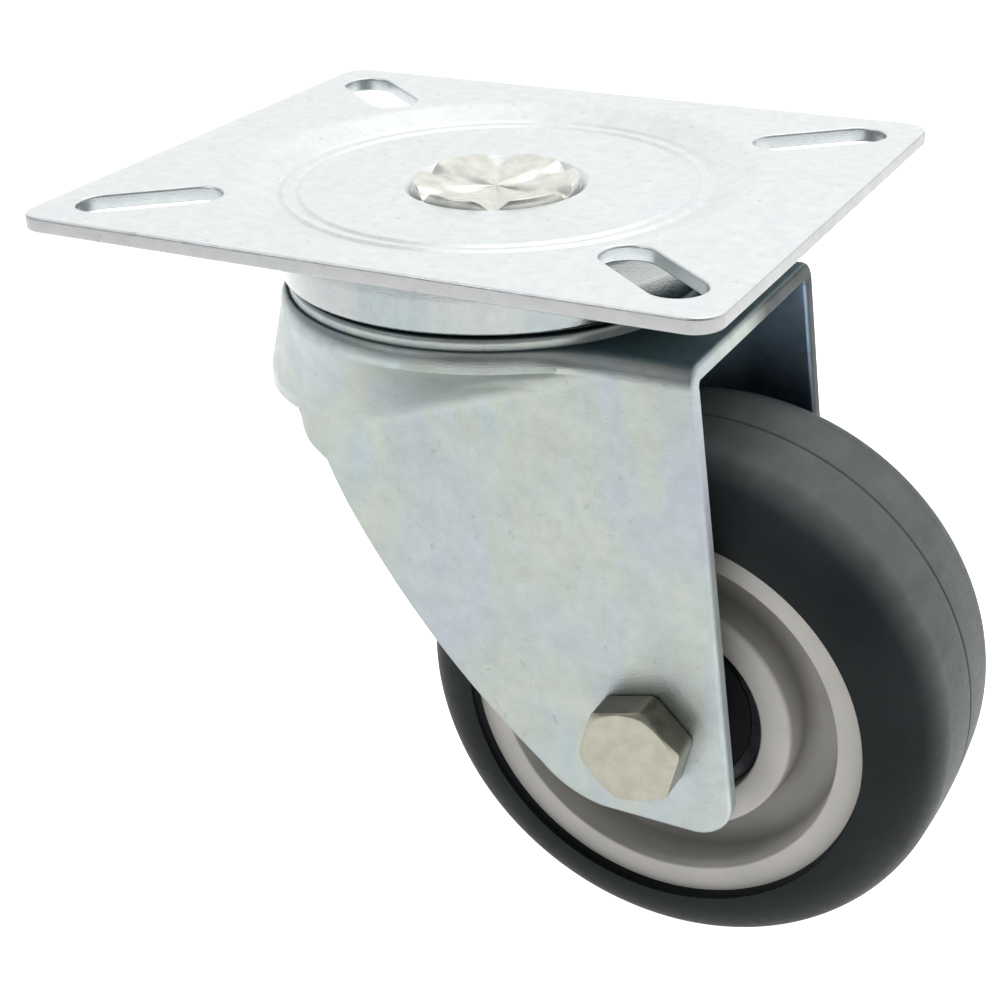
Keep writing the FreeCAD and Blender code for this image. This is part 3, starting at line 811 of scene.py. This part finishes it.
def build_fork():
    """Pressed fork: two matching sheets joined by rounded rims."""
    outer, outer_faces = fork_sheet(0, RIM_ROUND)
    inner, inner_faces = fork_sheet(SHEET_FORK, RIM_ROUND)
    outer_edge = fork_sheet(0, 0)[0]
    inner_edge = fork_sheet(SHEET_FORK, 0)[0]
    vertices = outer + inner
    faces = outer_faces + [[vertex + len(outer) for vertex in face] for face in inner_faces]
    border = border_edges(outer, outer_faces)
    strips = {}
    for vertex in {vertex for edge in border for vertex in edge}:
        strip = [vertex]
        for depth, shrink in rim_profile():
            near = Vector(outer_edge[vertex]).lerp(Vector(outer[vertex]), shrink)
            far = Vector(inner_edge[vertex]).lerp(Vector(inner[vertex]), shrink)
            strip.append(len(vertices))
            vertices.append(tuple(near.lerp(far, depth)))
        strip.append(vertex + len(outer))
        strips[vertex] = strip
    for start, end in border:
        for index in range(len(strips[start]) - 1):
            faces.append([strips[end][index], strips[start][index],
                          strips[start][index + 1], strips[end][index + 1]])
    return even_normals(new_object("fork_pressing", vertices, faces, 50))


# ---- bolt and nut

def hexagon_reach(angle, turn):
    """Distance to the outline of a hexagon with slightly rounded corners."""
    total = 0
    for index in range(3):
        normal = turn + pi / 2 + index * pi / 3
        total += abs(cos(angle - normal)) ** HEX_CORNER_POWER
    return HEX_APOTHEM / total ** (1 / HEX_CORNER_POWER)


def build_hexagon(name, base_y, face_y, turn, bore=0.0):
    """Hexagon along the axle with a coned face at face_y and a flat base at base_y."""
    out = 1 if face_y > base_y else -1
    flat = HEX_APOTHEM - HEX_FACE_INSET
    vertices = []
    rows = []

    def ring(distance, y):
        numbers = []
        for step in range(HEX_SEGMENTS):
            angle = 2 * pi * step / HEX_SEGMENTS
            numbers.append(len(vertices))
            vertices.append(axle_point(distance(angle), y(angle), angle))
        rows.append(numbers)

    def edge(angle):
        return hexagon_reach(angle, turn)

    def coned(angle, share):
        fall = max(0, (edge(angle) - flat) * share)
        return face_y - out * (HEX_CONE * fall ** 1.5 + HEX_EDGE_BREAK * share)

    inner = max(bore, HEX_MIDDLE)
    for share in (0, 0.3, 0.6, 0.85):
        ring(lambda a, s=share: inner + (flat - inner) * s, lambda a: face_y)
    for share in (0.0, 0.15, 0.35, 0.6, 0.85, 0.95):
        ring(lambda a, s=share: flat + (edge(a) - flat) * s, lambda a, s=share: coned(a, s))
    ring(edge, lambda a: coned(a, 1) - out * HEX_EDGE_BREAK)
    ring(edge, lambda a: base_y + out * HEX_FACE_INSET)
    ring(lambda a: edge(a) - HEX_FACE_INSET, lambda a: base_y)
    ring(lambda a: inner, lambda a: base_y)
    if bore > 0:
        faces = skin(rows + rows[:1])
    else:
        faces = skin(rows) + [rows[0], rows[-1]]
    return new_object(name, vertices, faces, 24)


def build_bolt():
    """Hexagon head, and a shank with a rolled thread under the nut."""
    head = build_hexagon("bolt_head", -FORK_HALF_WIDTH, bolt_low.y, BOLT_HEAD_TURN)
    start_y = -FORK_HALF_WIDTH
    thread_start = nut_high.y - 3
    steps = [start_y, start_y + 4, thread_start - 0.5]
    for step in range(THREAD_STEPS + 1):
        steps.append(thread_start + (bolt_high.y - thread_start) * step / THREAD_STEPS)
    vertices = []
    rows = []
    for y in steps:
        row = []
        for step in range(BOLT_SEGMENTS):
            turn = step / BOLT_SEGMENTS
            radius = BOLT_RADIUS
            if y > thread_start:
                phase = (y / THREAD_PITCH - turn) % 1
                radius -= THREAD_DEPTH * (1 - abs(2 * phase - 1))
            tip = max(0, y - (bolt_high.y - BOLT_TIP))
            radius = min(radius, BOLT_RADIUS - tip * 0.9)
            row.append(len(vertices))
            vertices.append(axle_point(radius, y, 2 * pi * turn))
        rows.append(row)
    shank = new_object("bolt_shank", vertices, [rows[0], rows[-1]] + skin(rows), 50)
    return head, shank


def build_nut():
    """Hexagon with a round collar that holds the locking insert."""
    hex_end = nut_low.y + NUT_HEX_HEIGHT
    body = build_hexagon("nut_hexagon", nut_low.y, hex_end, NUT_TURN, BOLT_RADIUS)
    outline = rounded([
        (5.0, hex_end - 1.0, 0), (NUT_COLLAR_RADIUS, hex_end - 1.0, 0),
        (NUT_COLLAR_RADIUS, nut_high.y, 1.2), (NUT_COLLAR_BORE, nut_high.y, 0.25),
        (NUT_COLLAR_BORE, nut_high.y - 0.6, 0)], 6)
    collar = turned("nut_collar", outline, axle_point, 96)
    return body, collar


# ---- wheel

def build_tyre():
    half_width = (tyre_high.y - tyre_low.y) / 2
    edge = WHEEL_RADIUS - TREAD_DROP
    shoulder_y = half_width - TYRE_SHOULDER
    shoulder_r = edge - TYRE_SHOULDER
    rim_half = (core_high.y - core_low.y) / 2
    near = [(RIM_RADIUS, -rim_half), (RIM_RADIUS + 0.35, -rim_half - 0.12),
            (RIM_RADIUS + 0.8, -rim_half - 0.4)]
    for step in range(SHOULDER_STEPS + 1):
        angle = pi / 2 * step / SHOULDER_STEPS
        near.append((shoulder_r + TYRE_SHOULDER * sin(angle),
                     -shoulder_y - TYRE_SHOULDER * cos(angle)))
    for step in range(1, TREAD_STEPS):
        y = -shoulder_y * (1 - step / TREAD_STEPS)
        near.append((WHEEL_RADIUS - TREAD_DROP * (y / shoulder_y) ** 2, y))
    # The parting line is a fine groove round the middle of the tread.
    near += [(WHEEL_RADIUS - 0.01, -0.42), (WHEEL_RADIUS - 0.02, -0.3), (WHEEL_RADIUS - 0.3, -0.12)]
    far = [(radius, -y) for radius, y in reversed(near)]
    outline = near + [(WHEEL_RADIUS - 0.34, 0)] + far
    tyre = turned("tyre_moulding", outline, axle_point, 288)
    tyre.data.set_sharp_from_angle(angle=radians(50))
    return tyre


def build_core():
    half_width = (core_high.y - core_low.y) / 2
    seat_start, seat_end = BEARING_SEAT
    near = [
        (RIM_RADIUS, -half_width, 0), (RIM_INNER_RADIUS, -half_width, 0.3),
        (RIM_INNER_RADIUS - 0.8, -WEB_HALF_WIDTH, 2.2), (HUB_RADIUS + 0.6, -WEB_HALF_WIDTH, 2.2),
        (HUB_RADIUS, -HUB_HALF_WIDTH, 0.7), (HUB_LIP_RADIUS, -HUB_HALF_WIDTH, 0.3),
        (HUB_LIP_RADIUS, -seat_end, 0), (BEARING_OUTER_RADIUS, -seat_end, 0),
        (BEARING_OUTER_RADIUS, -seat_start, 0), (HUB_BORE, -seat_start, 0)]
    far = [(radius, -y, corner) for radius, y, corner in reversed(near)]
    return turned("core_moulding", rounded(near + far, 6), axle_point, 256)


# ---- materials

class Graph:
    """Small helper that adds nodes to a material and joins their sockets."""

    def __init__(self, name):
        self.material = bpy.data.materials.new(name)
        self.material.use_nodes = True
        self.tree = self.material.node_tree
        self.tree.nodes.clear()
        shader = self.node("ShaderNodeBsdfPrincipled")
        self.node("ShaderNodeOutputMaterial", Surface=shader.outputs["BSDF"])
        self.shader = shader.inputs
        self.place = self.node("ShaderNodeTexCoord").outputs

    def feed(self, target, value):
        """Give an input another node's socket, or a fixed value."""
        if isinstance(value, bpy.types.NodeSocket):
            self.tree.links.new(value, target)
        else:
            target.default_value = value

    def node(self, kind, numbered=(), **values):
        """New node. Values go to inputs of that name or number, and otherwise to settings."""
        made = self.tree.nodes.new(kind)
        for key, value in values.items():
            if key in made.inputs:
                self.feed(made.inputs[key], value)
            else:
                setattr(made, key, value)
        for index, value in numbered:
            self.feed(made.inputs[index], value)
        return made

    def surface(self, values):
        """Set the shader's inputs, and return the material."""
        for name, value in values.items():
            self.feed(self.shader[name], value)
        return self.material

    def noise(self, scale, detail=4.0, roughness=0.55, stretch=(1, 1, 1), distortion=0.0):
        """Noise over the object's millimetres, stretched along each axis."""
        mapping = self.node("ShaderNodeMapping", Vector=self.place["Object"],
                            Scale=[s / MM for s in stretch])
        texture = self.node("ShaderNodeTexNoise", Scale=scale, Detail=detail, Roughness=roughness,
                            Distortion=distortion, Vector=mapping.outputs["Vector"])
        return texture.outputs["Fac"]

    def ramp(self, source, stops):
        """Colour that changes through (position, colour) stops as a number rises."""
        ramp = self.node("ShaderNodeValToRGB", Fac=source)
        elements = ramp.color_ramp.elements
        while len(elements) < len(stops):
            elements.new(0.5)
        for element, (position, color) in zip(elements, stops):
            element.position = position
            element.color = (*color, 1)
        return ramp.outputs["Color"]

    def spread(self, source, low, high, from_low=0.3, from_high=0.7):
        """Map a range of a number onto low to high; it starts as a texture's middle range."""
        ends = {"From Min": from_low, "From Max": from_high, "To Min": low, "To Max": high}
        return self.node("ShaderNodeMapRange", Value=source, **ends).outputs["Result"]

    def maths(self, operation, *numbers):
        made = self.node("ShaderNodeMath", enumerate(numbers), operation=operation)
        return made.outputs["Value"]

    def mixed(self, kind, share, first, second):
        """Colour made of two others, by a blend of this kind."""
        made = self.node("ShaderNodeMix", ((0, share), (6, first), (7, second)),
                         data_type="RGBA", blend_type=kind)
        return made.outputs[2]

    def times(self, first, second):
        return self.mixed("MULTIPLY", 1.0, first, second)

    def tint_where(self, mask, tint):
        """The tint where the mask is 1, and white where it is 0."""
        return self.mixed("MIX", mask, (1, 1, 1, 1), (*tint, 1))

    def shelter(self, reach_mm, depth, tint=(1, 1, 1), open_from=0.62):
        """Painted shade: dark where other surfaces within reach shut off the view, and 1 in the open.
        """
        shade = self.node("ShaderNodeAmbientOcclusion", samples=8, Distance=reach_mm * MM)
        dark = [c * (1 - depth) for c in tint]
        return self.ramp(shade.outputs["AO"], [(0.04, dark), (open_from, (1, 1, 1))])

    def axes(self, coordinate):
        """X, Y and Z of the surface's normal or of its place on the object."""
        return self.node("ShaderNodeSeparateXYZ", Vector=self.place[coordinate]).outputs

    def steepness(self, axis):
        """Size of one coordinate of the normal, without its sign."""
        return self.maths("ABSOLUTE", self.axes("Normal")[axis])

    def across(self, axis, start_mm, end_mm, low, high):
        """Goes from low to high as the distance along an axis goes from start to end."""
        distance = self.maths("ABSOLUTE", self.axes("Object")[axis])
        return self.spread(distance, low, high, start_mm * MM, end_mm * MM)

    def side_face(self, side_shade):
        """Painted shade by facing: 1 on faces that look up, and the given share on sheared edges and
        undersides.
        """
        return self.spread(self.axes("Normal")["Z"], side_shade, 1.0, 0.25, 0.75)

    def level_face(self):
        """1 on faces that look straight up."""
        return self.spread(self.axes("Normal")["Z"], 0.0, 1.0, 0.8, 0.97)

    def inward_face(self):
        """1 on faces that look towards the middle plane from well outside it."""
        outward = self.maths("MULTIPLY", self.axes("Normal")["Y"], self.axes("Object")["Y"])
        return self.spread(outward, 1.0, 0.0, -14 * MM, -9 * MM)

    def slot_wall(self):
        """1 on upright faces inside the outline of the plate."""
        wall = self.spread(self.steepness("Z"), 1.0, 0.0, 0.3, 0.75)
        for axis, half_size in (("X", plate_high.x), ("Y", plate_high.y)):
            inside = self.across(axis, half_size - 1.6, half_size - 1.0, 1.0, 0.0)
            wall = self.maths("MULTIPLY", wall, inside)
        return wall

    def cut_edge(self):
        """1 on the sheet's upright rear edges; and 1 on the far side."""
        steep = self.spread(self.steepness("X"), 0.0, 1.0, 0.35, 0.8)
        where = self.axes("Object")
        behind = self.spread(where["X"], 0.0, 1.0, 20 * MM, 24 * MM)
        far_side = self.spread(where["Y"], 0.0, 1.0, -4 * MM, 4 * MM)
        return self.maths("MULTIPLY", steep, behind), far_side

    def bump(self, source, distance_mm, **before):
        """Normal that follows a number as a height."""
        made = self.node("ShaderNodeBump", Strength=1.0, Distance=distance_mm * MM,
                         Height=source, **before)
        return made.outputs["Normal"]


def crown_and_cut(graph, rough, cut_edge_light_and_shade):
    """Painted shade, tinted teal as a painted reflection, on the fork's up-facing crown; painted light
    on the near sheared rear edges and painted shade on the far ones; and a roughness raised on both.
    """
    level = graph.level_face()
    cut, far_side = graph.cut_edge()
    edge_light_and_shade = graph.spread(cut, 1.0, graph.spread(far_side, *cut_edge_light_and_shade, 0, 1), 0, 1)
    dull = graph.maths("MAXIMUM", cut, level)
    rougher = graph.maths("MULTIPLY_ADD", dull, CUT_ROUGHNESS, rough)
    return [graph.tint_where(level, CROWN_PAINTED_SHADE), edge_light_and_shade], rougher


def zinc(name, tints, rough_low, rough_high, crevice_shade=0.85, reach_mm=8.0, side_shade=None,
         sheltered_shade=None, cut_edge_light_and_shade=None, inner_painted_light=None):
    """Electroplated zinc on pressed sheet: shifting pale tints, fine grain, specks and slow waves,
    darkened by painted shade in crevices; where asked, also painted shade on undersides and edges,
    painted light on slot walls and inward faces, and the fork's painted crown shade and edge light and
    shade.
    """
    graph = Graph(name)
    mottle = graph.noise(0.5, detail=6.0, roughness=0.7)
    specks = graph.noise(0.8, detail=2.0, stretch=(1.0, 1.0, 0.7), distortion=0.6)
    # Painted shade: the shelter factor darkens crevices and the gaps between parts.
    factors = [graph.spread(mottle, 0.93, 1.05), graph.spread(specks, 0.85, 1.0, 0.27, 0.33),
               graph.shelter(reach_mm, crevice_shade, (0.8, 1.0, 1.1))]
    # Painted shade, tinted teal, where nearby parts shut a surface in, such as the crown under the
    # plate.
    if sheltered_shade is not None:
        factors.append(graph.shelter(26.0, sheltered_shade, (0.62, 1.0, 1.2), 0.5))
    # Painted shade on sheared edges and undersides, with painted light lifting the slot walls.
    if side_shade is not None:
        factors += [graph.side_face(side_shade), graph.tint_where(graph.slot_wall(), SLOT_PAINTED_LIGHT)]
    # Painted light, bluish, on the cheeks' inward faces.
    if inner_painted_light is not None:
        factors.append(graph.tint_where(graph.inward_face(), inner_painted_light))
    rough = graph.spread(graph.noise(0.22, detail=6.0, roughness=0.7), rough_low, rough_high)
    # Painted shade on the crown, painted light on the near rear edges and painted shade on the far
    # ones.
    if cut_edge_light_and_shade is not None:
        edges, rough = crown_and_cut(graph, rough, cut_edge_light_and_shade)
        factors += edges
    product = graph.ramp(graph.noise(0.06, stretch=(1.0, 1.0, 0.4), distortion=0.8), tints)
    for factor in factors:
        product = graph.times(product, factor)
    waves = graph.bump(graph.noise(0.07, detail=1.0), 0.25)
    grain = graph.bump(graph.noise(2.4, stretch=(1, 1, 2.2)), 0.035, Normal=waves)
    return graph.surface({"Base Color": product, "Metallic": 1.0, "Roughness": rough, "Normal": grain})


def steel(name, colour, darker, rough_low, rough_high, crevice_shade=0.6):
    """Plated or drawn steel: slight patches, a fine skin and painted shade in crevices."""
    graph = Graph(name)
    patches = graph.noise(0.5, detail=5.0)
    base = graph.ramp(patches, [(0.35, darker), (0.65, colour)])
    return graph.surface({
        "Base Color": graph.times(base, graph.shelter(3.0, crevice_shade)), "Metallic": 1.0,
        "Roughness": graph.spread(patches, rough_low, rough_high),
        "Normal": graph.bump(graph.noise(1.6), SKIN_BUMP)})


def moulded(name, colour, darker, rough_low, rough_high, speck=1.4, sheen=0.5, crevice_shade=0.5,
            tread=None):
    """Moulded plastic or rubber: slight colour drift and a fine skin; tread lightens the middle band
    of a tyre, part dust and wear and part painted sheen; otherwise painted shade darkens crevices.
    """
    graph = Graph(name)
    base = graph.ramp(graph.noise(0.12), [(0.3, darker), (0.7, colour)])
    if tread is not None:
        # The lighter tread band is part dust and wear and part painted sheen.
        wear_and_sheen_noise = graph.noise(0.3, detail=5.0, stretch=(1, 0.4, 1))
        dust_and_sheen = graph.ramp(wear_and_sheen_noise, [(0.3, [c * 0.75 for c in tread]), (0.7, tread)])
        base = graph.mixed("MIX", graph.across("Y", 13.5, 8.0, 0.0, 1.0), base, dust_and_sheen)
    else:
        # Painted shade in crevices.
        base = graph.times(base, graph.shelter(9.0, crevice_shade))
    skin_noise = graph.noise(speck, detail=5.0, roughness=0.65)
    return graph.surface({
        "Base Color": base, "Specular IOR Level": sheen,
        "Roughness": graph.spread(skin_noise, rough_low, rough_high),
        "Normal": graph.bump(skin_noise, SKIN_BUMP)})


SKIN_BUMP = 0.02
CUT_ROUGHNESS = 0.28
# Painted shade with a teal painted reflection for the fork's up-facing crown.
CROWN_PAINTED_SHADE = (0.5, 0.74, 0.84)
# Painted light for the plate's slot walls.
SLOT_PAINTED_LIGHT = (1.35, 1.42, 1.45)
PLATE_TINTS = [(0.3, (0.88, 0.92, 0.92)), (0.5, (0.92, 0.93, 0.92)), (0.7, (0.90, 0.91, 0.93))]
RACE_TINTS = [(0.3, (0.27, 0.31, 0.32)), (0.5, (0.33, 0.35, 0.34)), (0.7, (0.30, 0.32, 0.34))]
FORK_TINTS = [(0.25, (0.300, 0.362, 0.397)), (0.42, (0.344, 0.370, 0.338)),
              (0.55, (0.325, 0.357, 0.365)), (0.75, (0.335, 0.342, 0.405))]

materials = {
    "plate_zinc": zinc("plate_zinc_look", PLATE_TINTS, 0.3, 0.42, crevice_shade=0.4, reach_mm=3.0,
                       side_shade=0.4),
    "fork_zinc": zinc("fork_zinc_look", FORK_TINTS, 0.30, 0.46, crevice_shade=0.35, reach_mm=2.0,
                      sheltered_shade=0.9, cut_edge_light_and_shade=(1.6, 0.35), inner_painted_light=(1.1, 1.3, 1.6)),
    "race_zinc": zinc("race_zinc_look", RACE_TINTS, 0.14, 0.24, crevice_shade=0.7),
    "pin_steel": steel("pin_steel_look", (0.92, 0.91, 0.86), (0.76, 0.74, 0.67), 0.24, 0.38,
                       crevice_shade=0.9),
    "bolt_zinc": steel("bolt_zinc_look", (0.355, 0.345, 0.29), (0.29, 0.28, 0.225), 0.3, 0.45,
                       crevice_shade=0.2),
    "nut_zinc": steel("nut_zinc_look", (0.50, 0.50, 0.46), (0.40, 0.40, 0.36), 0.28, 0.42),
    "sleeve_steel": steel("sleeve_steel_look", (0.30, 0.31, 0.31), (0.22, 0.23, 0.23), 0.3, 0.45),
    # The bearings' steel is near black: painted shade that keeps the hub's bore dark.
    "bearing_steel": steel("bearing_steel_look", (0.07, 0.075, 0.08), (0.05, 0.05, 0.055), 0.3, 0.4),
    "cage_steel": steel("cage_steel_look", (0.4, 0.41, 0.4), (0.3, 0.31, 0.3), 0.3, 0.4),
    "ball_steel": steel("ball_steel_look", (0.72, 0.73, 0.73), (0.62, 0.63, 0.63), 0.08, 0.14),
    "insert_nylon": moulded("insert_nylon_look", (0.42, 0.50, 0.60), (0.36, 0.44, 0.54), 0.4, 0.5),
    "core_plastic": moulded("core_plastic_look", (0.46, 0.44, 0.41), (0.40, 0.385, 0.36),
                            0.45, 0.6, sheen=0.35, crevice_shade=0.72),
    "tread_rubber": moulded("tread_rubber_look", (0.013, 0.016, 0.017), (0.009, 0.011, 0.012),
                            0.42, 0.55, speck=0.9, sheen=0.08, tread=(0.070, 0.077, 0.078)),
    "seal_rubber": moulded("seal_rubber_look", (0.020, 0.024, 0.026), (0.013, 0.015, 0.017),
                           0.5, 0.6, sheen=0.1),
}


# ---- assembly

def finish_piece(piece, slot, body, *nodes):
    """Give a piece its material, and set it on its body in place of the CAD nodes."""
    piece.data.materials.clear()
    piece.data.materials.append(materials[slot])
    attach(piece, body)
    if nodes:
        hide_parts(*nodes)


finish_piece(build_top_plate(), "plate_zinc", "plate", "top_plate")
finish_piece(build_kingpin(), "pin_steel", "plate", "kingpin")
finish_piece(build_upper_race(), "race_zinc", "plate", "upper_race")
finish_piece(build_fork(), "fork_zinc", "fork", "fork")
bolt_head, bolt_shank = build_bolt()
finish_piece(bolt_head, "bolt_zinc", "fork", "axle_bolt")
finish_piece(bolt_shank, "bolt_zinc", "fork")
nut_hexagon, nut_collar = build_nut()
finish_piece(nut_hexagon, "nut_zinc", "fork", "axle_nut")
finish_piece(nut_collar, "nut_zinc", "fork")
finish_piece(build_tyre(), "tread_rubber", "wheel", "tyre")
finish_piece(build_core(), "core_plastic", "wheel", "wheel_core")

for subpart in frame["record"]["subparts"]:
    node = frame["nodes"][subpart["node"]]
    node.data.materials.clear()
    node.data.materials.append(materials[subpart["material_slot"]])


# ---- floor, light and camera

FRONT_SKY = (0.20, 0.21, 0.22)
BACK_SKY = (0.95, 0.975, 0.97)
KEY_WATTS = 2.0
TOP_WATTS = 1.65
FILL_WATTS = 13.0
FLOOR_GLOW = 1.12
FLOOR_GAP = 0.0005
FLOOR_REACH = 6.0


def build_stage():
    """Plain pale floor just under the tyre, glowing a little so that it stays even."""
    floor_z = tyre_low.z * MM - FLOOR_GAP
    corners = ((-1, -1), (1, -1), (1, 1), (-1, 1))
    mesh = bpy.data.meshes.new("floor")
    mesh.from_pydata([(x * FLOOR_REACH, y * FLOOR_REACH, floor_z) for x, y in corners], [],
                     [(0, 1, 2, 3)])
    floor = placed("floor", mesh)
    graph = Graph("floor_look")
    paper = graph.ramp(graph.noise(0.02, detail=2.0), [(0.3, (0.40,) * 3), (0.7, (0.42,) * 3)])
    mesh.materials.append(graph.surface({
        "Base Color": paper, "Specular IOR Level": 0.0, "Roughness": 0.9,
        "Emission Color": (1, 1, 1, 1), "Emission Strength": FLOOR_GLOW}))


def area_light(name, location, target, size, energy):
    data = bpy.data.lights.new(name, "AREA")
    data.shape = "SQUARE"
    data.size = size
    data.energy = energy
    lamp = placed(name, data)
    direction = Vector(target) - Vector(location)
    lamp.location = location
    lamp.rotation_euler = direction.to_track_quat("-Z", "Y").to_euler()
    return lamp


def build_light():
    """White studio, bright behind and dimmer in front, with three soft lamps."""
    world = bpy.data.worlds.new("studio")
    world.use_nodes = True
    tree = world.node_tree
    background = tree.nodes["Background"]
    place = tree.nodes.new("ShaderNodeTexCoord")
    split = tree.nodes.new("ShaderNodeSeparateXYZ")
    depth = tree.nodes.new("ShaderNodeMapRange")
    depth.inputs["From Min"].default_value = -0.5
    depth.inputs["From Max"].default_value = 0.62
    shade = tree.nodes.new("ShaderNodeValToRGB")
    shade.color_ramp.elements[0].color = (*FRONT_SKY, 1)
    shade.color_ramp.elements[1].color = (*BACK_SKY, 1)
    tree.links.new(place.outputs["Generated"], split.inputs["Vector"])
    tree.links.new(split.outputs["Y"], depth.inputs["Value"])
    tree.links.new(depth.outputs["Result"], shade.inputs["Fac"])
    tree.links.new(shade.outputs["Color"], background.inputs["Color"])
    bpy.context.scene.world = world
    middle = (0, 0, -0.05)
    area_light("key_left", (-0.5, -0.75, 0.75), middle, 0.6, KEY_WATTS)
    area_light("top_soft", (0.1, 0.25, 1.0), middle, 0.8, TOP_WATTS)
    fill = area_light("top_fill", (0.35, 0.1, 0.9), middle, 0.6, FILL_WATTS)
    fill.visible_glossy = False


CAMERA_AZIMUTH = radians(28.36)
CAMERA_ELEVATION = radians(26.75)
CAMERA_ROLL = radians(-1.87)
CAMERA_DISTANCE = 0.26167
CAMERA_LENS = 65.85
CAMERA_AIM = (-0.89, 1.14, -50.0)


def build_camera():
    """Camera at the castor's front right, above it, aimed a little off the swivel axis."""
    flat = cos(CAMERA_ELEVATION)
    back = Vector((sin(CAMERA_AZIMUTH) * flat, -cos(CAMERA_AZIMUTH) * flat,
                   sin(CAMERA_ELEVATION)))
    level_right = Vector((cos(CAMERA_AZIMUTH), sin(CAMERA_AZIMUTH), 0))
    level_up = back.cross(level_right)
    roll_cos, roll_sin = cos(CAMERA_ROLL), sin(CAMERA_ROLL)
    right = level_right * roll_cos + level_up * roll_sin
    up = level_up * roll_cos - level_right * roll_sin
    aim_right, aim_up, aim_z = CAMERA_AIM
    target = (Vector((0, 0, aim_z)) + right * aim_right + up * aim_up) * MM
    data = bpy.data.cameras.new("camera")
    data.lens = CAMERA_LENS
    data.sensor_width = 36
    data.clip_start = 0.01
    camera = placed("camera", data)
    matrix = Matrix((right, up, back)).transposed().to_4x4()
    matrix.translation = target + back * CAMERA_DISTANCE
    camera.matrix_world = matrix
    bpy.context.scene.camera = camera


build_stage()
build_light()
build_camera()
bpy.context.scene.view_settings.view_transform = "Standard"
